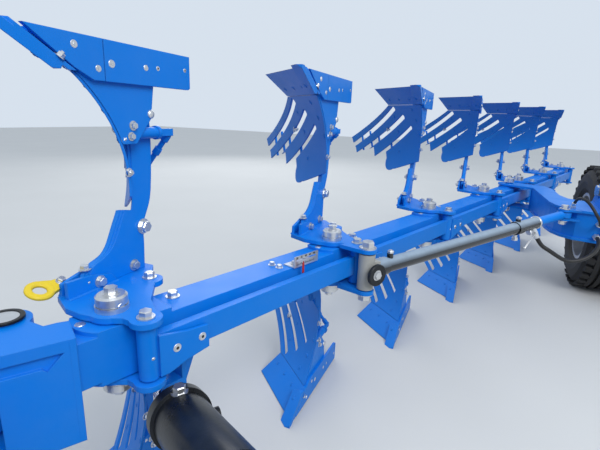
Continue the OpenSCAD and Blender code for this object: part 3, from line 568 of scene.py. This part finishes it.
# Kind, part, side it is seen from, place in x, y and z over the beam, width, sunk depth: millimetres
unitBolts = [
    ("cap", "bracket", "above", 0, 0, 400, 94, 46),
    ("hex", "bracket", "above", -1.6, 124.6, 400, 33, 0),
    ("hex", "bracket", "above", -229, -74, 400, 31, 0),
    ("hex", "bracket", "left", 6, 300, 124, 22, 0),
    ("hex", "legs", "above", -62, -177, 800, 24, 0),
    ("hex", "bracket", "left", -92, 300, 128, 26, 0),
    ("dome", "bracket", "left", -8, 300, 131, 11, 2),
    ("dome", "bracket", "left", -52, 300, 137, 11, 2),
    ("hex", "legs", "left", -249, 300, 132, 26, 0),
    ("hex", "legs", "left", -312, 300, 128, 36, 0),
    ("nut", "bracket", "right", -110, -500, 132, 28, 0),
    ("nut", "bracket", "right", -249, -500, 132, 26, 0),
    ("hex", "legs", "left", -303, 300, 263, 36, 0),
    ("nut", "legs", "right", -303, -500, 263, 36, 0),
    ("dome", "legs", "left", -329, 300, 655, 30, 0),
    ("hex", "legs", "left", -246, 300, 618, 20, 0),
    ("hex", "legs", "left", -236, 300, 584, 18, 0),
    ("nut", "legs", "right", -272, -500, 655, 26, 0),
    ("plough", "landsides", "left", -44, 300, 832, 22, 0),
    ("plough", "landsides", "left", -117, 300, 778, 20, 0),
    ("plough", "landsides", "left", -166, 300, 796, 24, 0),
    ("plough", "landsides", "left", -304, 300, 800, 20, 0),
    ("socket", "landsides", "left", -359, 300, 804, 16, 0),
    ("socket", "landsides", "left", -498, 300, 812, 15, 0),
    ("nut", "legs", "right", -120, -300, 775, 24, 0),
    ("nut", "legs", "right", -300, -300, 796, 24, 0),
    ("nut", "boards", "left", -446, 300, 592, 24, 0),
]

# Along the share and over its edge, in millimetres
boardBolts = [(46, 150), (46, 245), (46, 335), (236, 138), (236, 206), (236, 296), (236, 400),
              (470, 186), (470, 286), (470, 430)]
shareBolts = [(80, 74), (190, 74), (300, 74), (410, 74)]
boardHeads = [("painted", 1, 0.024), ("nut", -1, 0.019)]    # kind, in front or behind, width
boardReach = 0.9


def fitUnit(i):
    for side in (1, -1):
        for kind, part, seen, x, y, z, width, sink in unitBolts:
            start = atUnit(i, x / 1000, y / 1000, side * z / 1000)
            way = Vector(seenWay[seen])
            way.z *= side
            fit(kind, f"{part}_{i}", start, way, width / 1000, sink / 1000)
        ahead = boardPlace(0, 1, 0) - boardPlace(0, 0, 0)
        for part, rows in (("boards", boardBolts), ("shares", shareBolts)):
            for x, z in rows:
                for kind, face, width in boardHeads:
                    start = boardPlace(x / 1000, face * boardReach, z / 1000)
                    start.z *= -side
                    fit(kind, f"{part}_{i}", atUnit(i, *start), ahead * -face, width, facing=True)


# Along, across and over the beam, then width and sunk depth
beamBolts = {
    "reach": 0.4,                       # where a line towards the beam starts
    "bosses": [("hex", 0.210, 0.022, 0.030), ("plough", -0.088, 0.010, 0.030)],
    "barDome": (0.040, -0.012, 0.011, 0.001),
    "barSockets": [(0.116, -0.008, 0.027), (0.205, -0.006, 0.027)],
    "scaleFoot": [(0.665, -0.030, 0.020, 0), (0.665, 0.012, 0.020, 0)],
    "scalePlate": [(0.735, -0.046, 0.018, -0.0043), (0.805, -0.046, 0.018, -0.0043)],   # over its holes
    "tail": [(across, up) for across in (-0.045, 0.045) for up in (-0.045, 0.045)],
    "tailReach": 7.5,
    "tailWidth": 0.024,
}


def fitBeam(v):
    toRight = onBeam(0, 1, 0) - onBeam(0, 0, 0)
    toFront = onBeam(0, 0, 0) - onBeam(1, 0, 0)
    reach = v["reach"]
    for i in range(1, unitCount + 1):
        u = (i - 1) * unitPitch
        for side in (1, -1):
            for kind, along, across, width in v["bosses"]:
                fit(kind, "beam", onBeam(u + along, across, side * reach), (0, 0, -side), width)
        along, up, width, sink = v["barDome"]
        fit("dome", "control_bar", onBeam(u + along, -reach, up), toRight, width, sink)
        if i < unitCount:
            for along, up, width in v["barSockets"]:
                fit("socket", "control_bar", onBeam(u + along, -reach, up), toRight, width)
    for along, across, width, sink in v["scaleFoot"] + v["scalePlate"]:
        fit("hex", "beam", onBeam(along, across, reach), (0, 0, -1), width, sink)
    for across, up in v["tail"]:
        fit("hex", "beam", onBeam(v["tailReach"], across, up), toFront, v["tailWidth"])


# On the front frame, headstock, strut, neck and wheel: x, y or z, then width and sunk depth
endBolts = {
    "pins": [("cap", "wheel_neck", -3.690, 1.199, 0.086, 0.012),
             ("hex", "turnover_frame", 0.236, 0.617, 0.052, 0.006),
             ("hex", "bracket_2", -0.945, 0.514, 0.050, 0.008),
             ("hex", "wheel_neck", -2.515, 1.500, 0.042, 0.004)],
    "drum": ((0.236, 0.617, -0.100), (-0.152, 0.041, -0.286)),  # the middles of its ends
    "drumPlug": (0.747, 0.034),         # share of the way between them, width
    "swivel": (1.310, 0.100, 0.011),
    "headSides": [(x, z) for x in (0.900, 1.000, 1.100) for z in (-0.104, 0.104)],
    "yokeTop": [(1.400, 0.200), (1.400, 0.360), (1.440, 0.160), (1.440, 0.400)],
    "yokeTopWidth": 0.024,
    "yokeFront": [(y, z) for y in (-0.105, 0.105) for z in (-0.105, 0.105)],
    "yokeReach": 1.9,
    "frontWidth": 0.026,                # of those on the yoke's front and the headstock's sides
    "headTop": (0.860, 0.014, 0.001),
    "wheelNuts": (10, 0.140, 0.032),    # count, radius of the ring, width
    "hubBolts": (6, 0.076, 0.020, 0.5),
    "armPins": [(-2.930, -0.060, 0.060), (-2.520, 0.200, 0.036)],
    "armReach": 2.3,
    "flange": 0.500,
    "flangeRing": (12, 0.128, 0.026, 0.5),
}


def fitEnds(v):
    for kind, node, x, y, width, sink in v["pins"]:
        for side in (1, -1):
            fit(kind, node, fromPivot(x, y, side * outside), (0, 0, -side), width, sink)
    ends, (share, width) = [fromPivot(*end) for end in v["drum"]], v["drumPlug"]
    fit("hex", "memory_barrel", ends[0].lerp(ends[1], share) + Vector((0, 0, outside)), (0, 0, -1), width)
    for side in (1, -1):
        x, width, sink = v["swivel"]
        fit("cap", "swivel_yoke", fromPivot(x, spindleLine, side * outside), (0, 0, -side), width, sink)
        for x, z in v["headSides"]:
            fit("hex", "turnover_head", fromPivot(x, spindleLine + side * outside, z), (0, -side, 0),
                v["frontWidth"])
        for x, y in v["yokeTop"]:
            fit("hex", "swivel_yoke", fromPivot(x, y, side * outside), (0, 0, -side), v["yokeTopWidth"])
        for y, z in v["yokeFront"]:     # set with each side, one head over the other
            start = fromPivot(v["yokeReach"], spindleLine + y, z)
            fit("hex", "swivel_yoke", start, (-1, 0, 0), v["frontWidth"])
    x, width, sink = v["headTop"]
    fit("dome", "turnover_head", fromPivot(x, spindleLine, outside), (0, 0, -1), width, sink)
    fitRing("nut", "rim", fromPivot(*hubSide), (1, 0, 0), (0, -1, 0), *v["wheelNuts"])
    fitRing("hex", "rim", fromPivot(*hubSide), (1, 0, 0), (0, -1, 0), *v["hubBolts"])
    for x, z, width in v["armPins"]:
        fit("hex", "wheel_neck", fromPivot(x, v["armReach"], z), (0, -1, 0), width)
    flange = fromPivot(v["flange"], spindleLine, 0)
    fitRing("hex", "turnover_frame", flange, (0, 1, 0), (1, 0, 0), *v["flangeRing"])


for i in range(1, unitCount + 1):
    fitUnit(i)
fitBeam(beamBolts)
fitEnds(endBolts)
boltsTree = boltTree()
for (body, finish), rows in fitted.items():
    grow(f"{boltPiece[finish]}_{body}", rows, boltsTree, body, finish)
print("bolts set:", sum(len(rows) for rows in fitted.values()))


# Turned, swept and cut parts

class Shape:
    # One piece's mesh, gathered from its parts
    def __init__(self):
        self.bm = bmesh.new()

    def bridge(self, low, high):
        # A ring of one point makes a pole
        for k in range(max(len(low), len(high))):
            m = k + 1
            corners = [low[k % len(low)], low[m % len(low)], high[m % len(high)], high[k % len(high)]]
            self.bm.faces.new(list(dict.fromkeys(corners))).smooth = True

    def turned(self, place, axis, profile, sides=40, loop=False):
        # Pairs of radius and height, from the foot up
        turn = Vector(axis).normalized().to_track_quat("Z", "Y").to_matrix()
        rings = []
        for radius, height in profile:
            around = [k / sides * 2 * math.pi for k in range(sides)] if radius else [0]
            rings.append([self.bm.verts.new(Vector(place) + turn @ Vector(
                (radius * math.cos(a), radius * math.sin(a), height))) for a in around])
        for low, high in zip(rings, rings[1:] + (rings[:1] if loop else [])):
            self.bridge(low, high)
        return self

    def swept(self, path, radius, sides=16):
        # A round bar or hose along a path, closed at both ends
        path = [Vector(point) for point in path]
        side = None
        rings = []
        for k, point in enumerate(path):
            ahead = (path[min(k + 1, len(path) - 1)] - path[max(k - 1, 0)]).normalized()
            if side is None:
                side = ahead.orthogonal().normalized()
            side = (side - ahead * side.dot(ahead)).normalized()
            other = ahead.cross(side)
            rings.append([self.bm.verts.new(point + radius * (side * math.cos(a) + other * math.sin(a)))
                          for a in (n / sides * 2 * math.pi for n in range(sides))])
        for low, high in zip(rings, rings[1:]):
            self.bridge(low, high)
        for ring, point in ((rings[0], path[0]), (rings[-1], path[-1])):
            self.bridge([self.bm.verts.new(point)], ring)
        return self

    def cut(self, outline, thick, place, right, up):
        # A plate of the given outline, with its face's axes
        right, up = Vector(right).normalized(), Vector(up).normalized()
        out = right.cross(up)
        rings = []
        middle = sum((Vector(point) for point in outline), Vector((0, 0))) / len(outline)
        for depth, inset in ((-0.5, 0.94), (-0.42, 1.0), (0.42, 1.0), (0.5, 0.94)):
            ring = []
            for point in outline:
                x, y = middle + (Vector(point) - middle) * inset
                ring.append(self.bm.verts.new(Vector(place) + right * x + up * y + out * thick * depth))
            rings.append(ring)
        for low, high in zip(rings, rings[1:]):
            for k in range(len(outline)):
                m = (k + 1) % len(outline)
                self.bm.faces.new((low[k], low[m], high[m], high[k]))
        self.bm.faces.new(rings[0])
        self.bm.faces.new(rings[-1])
        return self

    def stack(self, place, axis, rows):
        # Discs along an axis: where each starts, its radius, height and sides
        for start, radius, height, sides in rows:
            self.turned(Vector(place) + Vector(axis) * start, axis, disc(radius, height), sides)
        return self

    def make(self, name, body, finish):
        bmesh.ops.recalc_face_normals(self.bm, faces=self.bm.faces)
        mesh = bpy.data.meshes.new(name)
        self.bm.to_mesh(mesh)
        self.bm.free()
        mesh.set_sharp_from_angle(angle=math.radians(35))
        return addPiece(name, mesh, body, finish)


def disc(radius, height, edge=0.002):
    # A solid disc's profile, with a chamfered rim
    return [(0, 0), (radius, 0), (radius, height - edge), (radius - edge, height), (0, height)]


def ring(inner, outer, low, high, edge=0.003):
    # A ring's profile, chamfered all round
    return [(inner, low + edge), (inner + edge, low), (outer - edge, low), (outer, low + edge),
            (outer, high - edge), (outer - edge, high), (inner + edge, high), (inner, high - edge)]


# Lashing eye

lashing = {
    "centre": (0.060, -0.222, 0.138),
    "hole": 0.0190,
    "outer": 0.0405,
    "thick": 0.0138,
    "lean": 24,                         # degrees
    "lug": [(0.022, -0.032), (0.048, -0.020), (0.080, -0.017), (0.088, -0.008), (0.088, 0.0188),
            (0.0465, 0.0188), (0.0465, 0.025), (0.026, 0.030)],
    "bolt": 0.069,                      # behind the eye's middle
    "washer": (0.0165, 0.004, 0.001),
    "head": (0.0120, 0.011),
}


def makeLashing(v):
    centre = fromPivot(*v["centre"])
    lean = math.radians(v["lean"])
    back, side = Vector((-1, 0, 0)), Vector((0, math.cos(lean), -math.sin(lean)))
    face = side.cross(back)
    half = v["thick"] / 2
    eye = Shape().turned(centre, face, ring(v["hole"], v["outer"], -half, half, 0.004), loop=True)
    eye.cut(v["lug"], v["thick"] - 0.0006, centre, back, side)
    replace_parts(eye.make("lashing_eye", "unit_1", "yellow"), "lashing_ring")
    foot = centre + back * v["bolt"] + face * half
    bolt = Shape().turned(foot - face * 0.001, face, disc(*v["washer"]))
    bolt.turned(foot + face * 0.003, face, disc(*v["head"]), sides=6)
    bolt.make("lashing_bolt", "unit_1", "zinc")


makeLashing(lashing)
print("lashing eye set")


# Width scale and its pointer: along, across and over the beam

scale = {
    "numbers": ["30", "35", "40", "45", "50"],
    "from": 0.716,
    "step": 0.0265,
    "face": -0.0806,
    "height": 0.0125,
    "low": 0.1065,
    "relief": 0.0004,
    "ticks": 21,
    "tickFoot": 0.0790,
    "tickLong": 0.009,                  # every fifth
    "tickShort": 0.005,
    "tickWide": 0.0012,
    "tickThick": 0.0006,
    "pointer": [(-0.006, 0), (0.006, 0), (0.005, 0.040), (0, 0.052), (-0.005, 0.040)],
    "pointerThick": 0.003,
    "pointerFoot": (0.734, -0.0985, 0.0488),
}


def makeScale(v):
    along, up = onBeam(1, 0, 0) - onBeam(0, 0, 0), Vector((0, 0, 1))
    turn = Matrix((along, up, along.cross(up))).transposed().to_4x4()
    whole = bmesh.new()
    for k, digits in enumerate(v["numbers"]):
        curve = bpy.data.curves.new("digits", "FONT")
        curve.body = digits
        curve.size = v["height"]
        curve.align_x = "CENTER"
        curve.extrude = v["relief"]
        source = bpy.data.objects.new("digits", curve)
        bpy.context.scene.collection.objects.link(source)
        bpy.context.view_layer.update()
        mesh = bpy.data.meshes.new_from_object(source)
        place = onBeam(v["from"] + k * v["step"], v["face"], v["low"])
        mesh.transform(Matrix.Translation(place) @ turn)
        whole.from_mesh(mesh)
        bpy.data.objects.remove(source)
    mesh = bpy.data.meshes.new("scale_numbers")
    whole.to_mesh(mesh)
    whole.free()
    addPiece("scale_numbers", mesh, "main_beam", "black")
    marks = Shape()
    wide = v["tickWide"] / 2
    for k in range(v["ticks"]):
        long = (v["tickLong"] if k % 5 == 0 else v["tickShort"]) / 2
        middle = onBeam(v["from"] + k * v["step"] / 5, v["face"] - 0.0002, v["tickFoot"] + long)
        marks.cut([(-wide, -long), (wide, -long), (wide, long), (-wide, long)], v["tickThick"], middle,
                  along, up)
    marks.make("scale_marks", "main_beam", "black")
    pointer = Shape().cut(v["pointer"], v["pointerThick"], onBeam(*v["pointerFoot"]), along, up)
    pointer.make("scale_pointer", "parallel_bar", "red")


makeScale(scale)
print("width scale set")


# Strut: its pin's boss, gland, ports and valve. A disc is (start, radius, height, sides)

strut = {
    "ends": [(-0.9446, 0.5145, 0), (-2.515, 1.500, 0.070)],
    "side": (0.531, 0.847, 0),
    "pinShift": (-0.0054, 0, 0),
    "pinOut": 0.0640,
    "pinRing": (0.024, 0.050, -0.006, 0.012),
    "boss": [(0, 0.027, 0.008, 40), (0.008, 0.018, 0.010, 6)],
    "gland": 1.288,                     # along the strut, as the next ones
    "glandRing": (0.0236, 0.037, 0, 0.190, 0.002),
    "collar": 1.470,
    "collarRing": (0.0240, 0.042, 0, 0.016),
    "ports": [0.150, 1.260],
    "port": [(0.057, 0.0165, 0.010, 6), (0.067, 0.0085, 0.005, 40)],
    "bleed": 1.250,
    "bleedScrew": [(0.034, 0.012, 0.030, 40), (0.060, 0.019, 0.018, 6)],
    "outlet": (1.440, 0.006, 0.030),    # along, to the side, down
    "outletWay": (0, 0.5, -0.866),
    "socket": [(0, 0.021, 0.040, 6), (0.040, 0.0185, 0.030, 40)],
    "valve": [(0, 0.013, 0.055, 40), (0.050, 0.019, 0.016, 6)],
    "lever": [(-0.035, 0, 0), (-0.035, 0.030, 0), (-0.095, 0.040, 0.020), (-0.165, 0.040, 0.075),
              (-0.185, 0.036, 0.060)],
    "leverThick": 0.009,
}
strutStart = fromPivot(*strut["ends"][0])
strutWay = (fromPivot(*strut["ends"][1]) - strutStart).normalized()
strutSide = Vector(strut["side"])
strutDown = strutWay.cross(strutSide)


def onStrut(x, side=0.0, low=0.0):
    return strutStart + strutWay * x + strutSide * side + strutDown * low


outlet = onStrut(*strut["outlet"])
outletWay = Vector(strut["outletWay"])


def makeStrut(v):
    pinEnd = strutStart + Vector(v["pinShift"]) + strutSide * v["pinOut"]
    Shape().turned(pinEnd, strutSide, ring(*v["pinRing"]), loop=True).make(
        "strut_ring", "strut_tube", "black")
    Shape().stack(pinEnd, strutSide, v["boss"]).make("strut_boss", "strut_tube", "zinc")
    Shape().turned(onStrut(v["gland"]), strutWay, ring(*v["glandRing"]), loop=True).make(
        "strut_gland", "strut_tube", "barrel")
    fittings = Shape().turned(onStrut(v["collar"]), strutWay, ring(*v["collarRing"]), loop=True)
    for x in v["ports"]:
        fittings.stack(onStrut(x), (0, 0, 1), v["port"])
    fittings.stack(outlet, outletWay, v["socket"])
    valve = outlet + outletWay * (v["socket"][0][2] / 2)
    fittings.stack(valve, -strutWay, v["valve"])
    fittings.swept([valve + strutWay * x + strutSide * side + strutDown * low
                    for x, side, low in v["lever"]], v["leverThick"] / 2, 10)
    fittings.stack(onStrut(v["bleed"]), strutDown, v["bleedScrew"])
    fittings.make("strut_fittings", "strut_tube", "zinc")


makeStrut(strut)


# Front pin, hub cap, stand pin and linch pins

frontPin = {
    "place": (0.180, -0.200),
    "ring": (0.037, 0.050, -0.004, 0.0035, 0.001),
    "cap": (0.0365, 0.0015, 0.0005),
}


def makeFrontPin(v):
    body = bodyOf["turnover_frame"]
    for side, tag in ((1, "top"), (-1, "foot")):
        place, _ = seat("turnover_frame", fromPivot(*v["place"], side * outside), (0, 0, -side))
        Shape().turned(place, (0, 0, side), ring(*v["ring"]), loop=True).make(
            f"front_pin_ring_{tag}", body, "black")
        Shape().turned(place, (0, 0, side), disc(*v["cap"])).make(f"front_pin_cap_{tag}", body, "zinc")


hubCap = {
    "sink": 0.002,
    "profile": [(0, 0), (0.056, 0), (0.056, 0.022), (0.050, 0.034), (0.030, 0.042), (0, 0.044)],
}


def makeHubCap(v):
    place, _ = seat("rim", fromPivot(*hubSide), (0, -1, 0))
    Shape().turned(place - Vector((0, v["sink"], 0)), (0, 1, 0), v["profile"]).make(
        "hub_cap", "wheel", "zinc")


def pinLoop(shape, place, out, size):
    # A spring ring that stands out of a pin, open at the pin
    turns = [math.radians(a) for a in range(-150, 151, 15)]
    path = [place + (out * (1 + math.cos(a)) + Vector((math.sin(a), 0, 0))) * size for a in turns]
    shape.swept(path, size * 0.11, 8)


standPin = {
    "place": (0.930, 0.5695, 0.045),
    "discs": [(0, 0.015, 0.006, 40), (0.0055, 0.0105, 0.034, 40)],
    "loop": (0, 0.0305, 0),             # from the place
    "loopWay": (0, 0.4, -0.9),
    "loopSize": 0.026,
}


def makeStandPin(v):
    place = fromPivot(*v["place"])
    pin = Shape().stack(place, (0, 1, 0), v["discs"])
    pinLoop(pin, place + Vector(v["loop"]), Vector(v["loopWay"]), v["loopSize"])
    pin.make("stand_pin", "headstock", "zinc")


linchPins = {
    "x": 1.500,
    "apart": 0.515,                     # from the spindle's line
    "shank": [-0.034, 0, 0.026],
    "thick": 0.011,
    "head": [(0.022, 0.010, 0.012, 40)],
    "loop": 0.030,
    "loopSize": 0.022,
}


def makeLinchPins(v):
    pins = Shape()
    for side in (1, -1):
        place = fromPivot(v["x"], spindleLine + side * v["apart"], 0)
        pins.swept([place + Vector((0, 0, z)) for z in v["shank"]], v["thick"] / 2, 12)
        pins.stack(place, (0, 0, 1), v["head"])
        pinLoop(pins, place + Vector((0, 0, v["loop"])), Vector((0, -side * 0.8, 0.35)), v["loopSize"])
    pins.make("linch_pins", "hitch_shaft", "zinc")


makeFrontPin(frontPin)
makeHubCap(hubCap)
makeStandPin(standPin)
makeLinchPins(linchPins)
print("strut fittings and pins set")


# Hoses

hoses = {
    "strut": {
        "thick": 0.026,
        "bend": 0.115,                  # radius of its first bend, under the valve
        "ferrule": 0.036,
        "route": [(-2.219, 1.500, -0.179), (-2.235, 1.560, -0.178), (-2.262, 1.625, -0.155),
                  (-2.305, 1.675, -0.120), (-2.370, 1.706, -0.085), (-2.440, 1.714, -0.066),
                  (-2.485, 1.715, -0.062), (-2.512, 1.715, -0.062)],
    },
    "lift": {
        "thick": 0.0195,
        "ferrule": 0.030,
        "route": [(-2.590, 1.560, 0.125), (-2.572, 1.562, 0.160), (-2.535, 1.572, 0.192),
                  (-2.480, 1.592, 0.200), (-2.430, 1.622, 0.175), (-2.403, 1.655, 0.125),
                  (-2.405, 1.688, 0.075), (-2.435, 1.706, 0.040), (-2.480, 1.713, 0.027),
                  (-2.512, 1.714, 0.026)],
    },
}


def flowing(points, steps=5):
    # A smooth line near the points, which starts and ends on the first and last
    points = [points[0] * 2 - points[1]] + points + [points[-1] * 2 - points[-2]]
    line = []
    for a, b, c, d in zip(points, points[1:], points[2:], points[3:]):
        for k in range(steps):
            t = k / steps
            line.append((a * (1 - t) ** 3 + b * (3 * t ** 3 - 6 * t ** 2 + 4)
                         + c * (3 * t ** 2 + 3 * t + 1 - 3 * t ** 3) + d * t ** 3) / 6)
    return line + [points[-2]]


def strutRoute(v):
    # Straight out of the valve, round the first bend, then along the route
    points = [outlet + outletWay * x for x in (0.060, 0.090)]
    foot, steep = points[-1], math.radians(60)
    for k in (1, 2, 3):
        a = steep - math.radians(15 * k)
        points.append(foot + Vector((-0.002 * k, v["bend"] * (math.sin(steep) - math.sin(a)),
                                     v["bend"] * (math.cos(steep) - math.cos(a)))))
    return points + [fromPivot(*p) for p in v["route"]]


def makeHose(name, body, path, thick):
    length = sum((b - a).length for a, b in zip(path, path[1:]))
    hose = Shape().swept(path, thick / 2, 18).make(name, body, "hose")
    print(name, "is", round(length, 4), "m long")
    return hose


strutPath = flowing(strutRoute(hoses["strut"]))
liftPath = flowing([fromPivot(*p) for p in hoses["lift"]["route"]])
strutHose = makeHose("strut_hose", None, strutPath, hoses["strut"]["thick"])
makeHose("lift_hose", "neck", liftPath, hoses["lift"]["thick"])

ferrules = Shape()
for path, wide in ((strutPath, hoses["strut"]["ferrule"]), (liftPath, hoses["lift"]["ferrule"])):
    ferrules.stack(path[-1], (1, 0, 0), [(-0.0185, wide * 0.62, 0.018, 6), (-0.0010, wide / 2, 0.030, 40)])
ferrules.stack(liftPath[0], (0, 0, 1), [(-0.019, 0.0185, 0.020, 6)])
ferrules.stack(liftPath[0], (0.35, 0, 0.93), [(0, 0.0145, 0.026, 40)])
ferrules.make("hose_ferrules", "neck", "zinc")
# It has no body before this, because it goes from the strut's tube to its rod
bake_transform(strutHose, "strut_tube", "strut_piston", start=tuple(strutPath[8]), end=tuple(strutPath[-10]))
print("hoses set")


# Tyre tread

tread = {"count": 36, "radius": 0.566, "side": 0.171, "lean": 12}
treadSizes = {"Block length": 0.062, "Block width": 0.072, "Block height": 0.024, "Taper": 0.82}


def treadTree():
    t = Steps("tread", treadSizes)
    long, wide, high, taper = (t.start[key] for key in treadSizes)
    corner = 0.7071                     # a unit square's radius, over its corners
    block = t.make("GeometryNodeMeshCone", {}, {"Vertices": 4, "Radius Bottom": corner, "Depth": 1.0,
                                                "Radius Top": t.math("MULTIPLY", taper, corner)})
    block = t.moved(block, Rotation=(0, 0, math.pi / 4))
    block = t.moved(block, Scale=t.vector(X=long, Y=wide, Z=high))
    turn = t.make("FunctionNodeAlignRotationToVector", {"axis": "Y", "pivot_axis": "Z"},
                  {"Rotation": t.aligned("Z"), "Vector": (0, 1, 0)})
    return t.finish(t.standing(block, t.spun(turn, t.stored("size", "FLOAT"))))


def makeTread(v):
    # Two rows of blocks, half a step apart, that lean against each other
    hub = fromPivot(*wheelHub)
    rows = []
    for side, shift in ((1, 0.5), (-1, 0)):
        for k in range(v["count"]):
            a = (k + shift) / v["count"] * 2 * math.pi
            way = Vector((math.cos(a), 0, math.sin(a)))
            place = hub + way * v["radius"] + Vector((0, side * v["side"], 0))
            rows.append((place, way, side * math.radians(v["lean"]), 0))
    grow("tyre_tread", rows, treadTree(), "wheel", "tyre")


makeTread(tread)
print("tread set")


# Weld beads

weldSizes = {"Bead width": 0.0075, "Bead height": 0.62}
weldRuns = {
    "step": 0.0065,
    "bracket": [(-0.1495, 0.020, -0.160), (-0.2045, 0.010, -0.320)],    # y, and x from and to
    "bracketHeight": 0.1070,
    "neck": (1.7465, -2.985, -2.545),
    "neckHeight": 0.1075,
}


def weldTree():
    t = Steps("welds", weldSizes)
    bead = t.make("GeometryNodeMeshUVSphere", {}, {"Segments": 8, "Rings": 5,
                                                   "Radius": t.start["Bead width"]})
    bead = t.moved(bead, Scale=t.vector(X=1.0, Y=0.62, Z=t.start["Bead height"]))
    return t.finish(t.standing(bead, t.aligned("Y")))


def beads(start, end, step):
    count = max(2, int((end - start).length / step))
    way = (end - start).normalized()
    return [(start + (end - start) * k / count, way, 1.0, 0) for k in range(count + 1)]


def makeWelds(v):
    tree = weldTree()
    for i in range(1, unitCount + 1):
        rows = []
        for height in (v["bracketHeight"], -v["bracketHeight"]):
            for y, x, back in v["bracket"]:
                rows += beads(atUnit(i, x, y, height), atUnit(i, back, y, height), v["step"])
        body = bodyOf[f"bracket_{i}"]
        grow(f"welds_{body}", rows, tree, body, "blue")
    y, x, back = v["neck"]
    rows = []
    for height in (v["neckHeight"], -v["neckHeight"]):
        rows += beads(fromPivot(x, y, height), fromPivot(back, y, height), v["step"])
    grow("welds_neck", rows, tree, "neck", "blue")


makeWelds(weldRuns)
print("welds set")


# Stage

stageSet = {
    "floor": (0.58, 0.58, 0.57),
    "floorSize": 60,
    "floorNoise": (0.9, 3.0),
    "floorLighter": 1.08,
    "floorRough": 0.9,
    "floorLight": 0.45,                 # share of the floor's tone that lights the object from below
    "sky": (0.80, 0.89, 1.0),
    "seenLight": 0.85,
    "horizonLight": 0.42,
    "zenithLight": 1.15,
    "aim": (0, 0, 0.8),
    "lamps": {"key": ((6, 5, 7), 5.0, 520), "fill": ((-8, -7, 6), 6.0, 260)},   # place, width, watts
}


def seenRays(tree):
    # 1 for what the camera, gloss and glass see, 0 for light that falls on the object
    rays = tree.nodes.new("ShaderNodeLightPath").outputs
    camera, gloss, glass = (Signal(tree, rays[f"Is {kind} Ray"])
                            for kind in ("Camera", "Glossy", "Transmission"))
    return (camera + gloss + glass).clamp()


def makeFloor(v):
    bpy.ops.mesh.primitive_plane_add(size=v["floorSize"])
    floor = bpy.context.object
    floor.name = "floor"
    f = Finish("paleFloor")
    lighter = tuple(c * v["floorLighter"] for c in v["floor"])
    tone = f.mix(f.noise(*v["floorNoise"]), v["floor"], lighter)
    dim = tuple(c * v["floorLight"] for c in v["floor"])
    material = f.set(Base_Color=f.mix(seenRays(f.tree), dim, tone), Roughness=v["floorRough"])
    floor.data.materials.append(material)


def makeSky(v):
    # More light from overhead than from the horizon, while what is seen stays plain
    world = bpy.data.worlds.new("studio")
    bpy.context.scene.world = world
    world.use_nodes = True
    tree = world.node_tree
    shade = tree.nodes["Background"]
    shade.inputs["Color"].default_value = (*v["sky"], 1)
    way = tree.nodes.new("ShaderNodeTexCoord").outputs["Generated"]
    split = tree.nodes.new("ShaderNodeSeparateXYZ")
    tree.links.new(way, split.inputs[0])
    up = Signal(tree, split.outputs[2]).clamp()
    seen = seenRays(tree)
    power = v["horizonLight"] + up * (v["zenithLight"] - v["horizonLight"])
    power = power * (1.0 - seen) + seen * v["seenLight"]
    tree.links.new(power.socket, shade.inputs["Strength"])


def makeLamps(v):
    for name, (place, width, watts) in v["lamps"].items():
        data = bpy.data.lights.new(name + "Lamp", "AREA")
        data.shape = "DISK"
        data.size = width
        data.energy = watts
        lamp = bpy.data.objects.new(name + "Lamp", data)
        lamp.location = place
        lamp.rotation_euler = (Vector(v["aim"]) - Vector(place)).to_track_quat("-Z", "Y").to_euler()
        bpy.context.scene.collection.objects.link(lamp)


makeFloor(stageSet)
makeSky(stageSet)
makeLamps(stageSet)
bpy.context.scene.view_settings.view_transform = "Standard"
print("stage set")
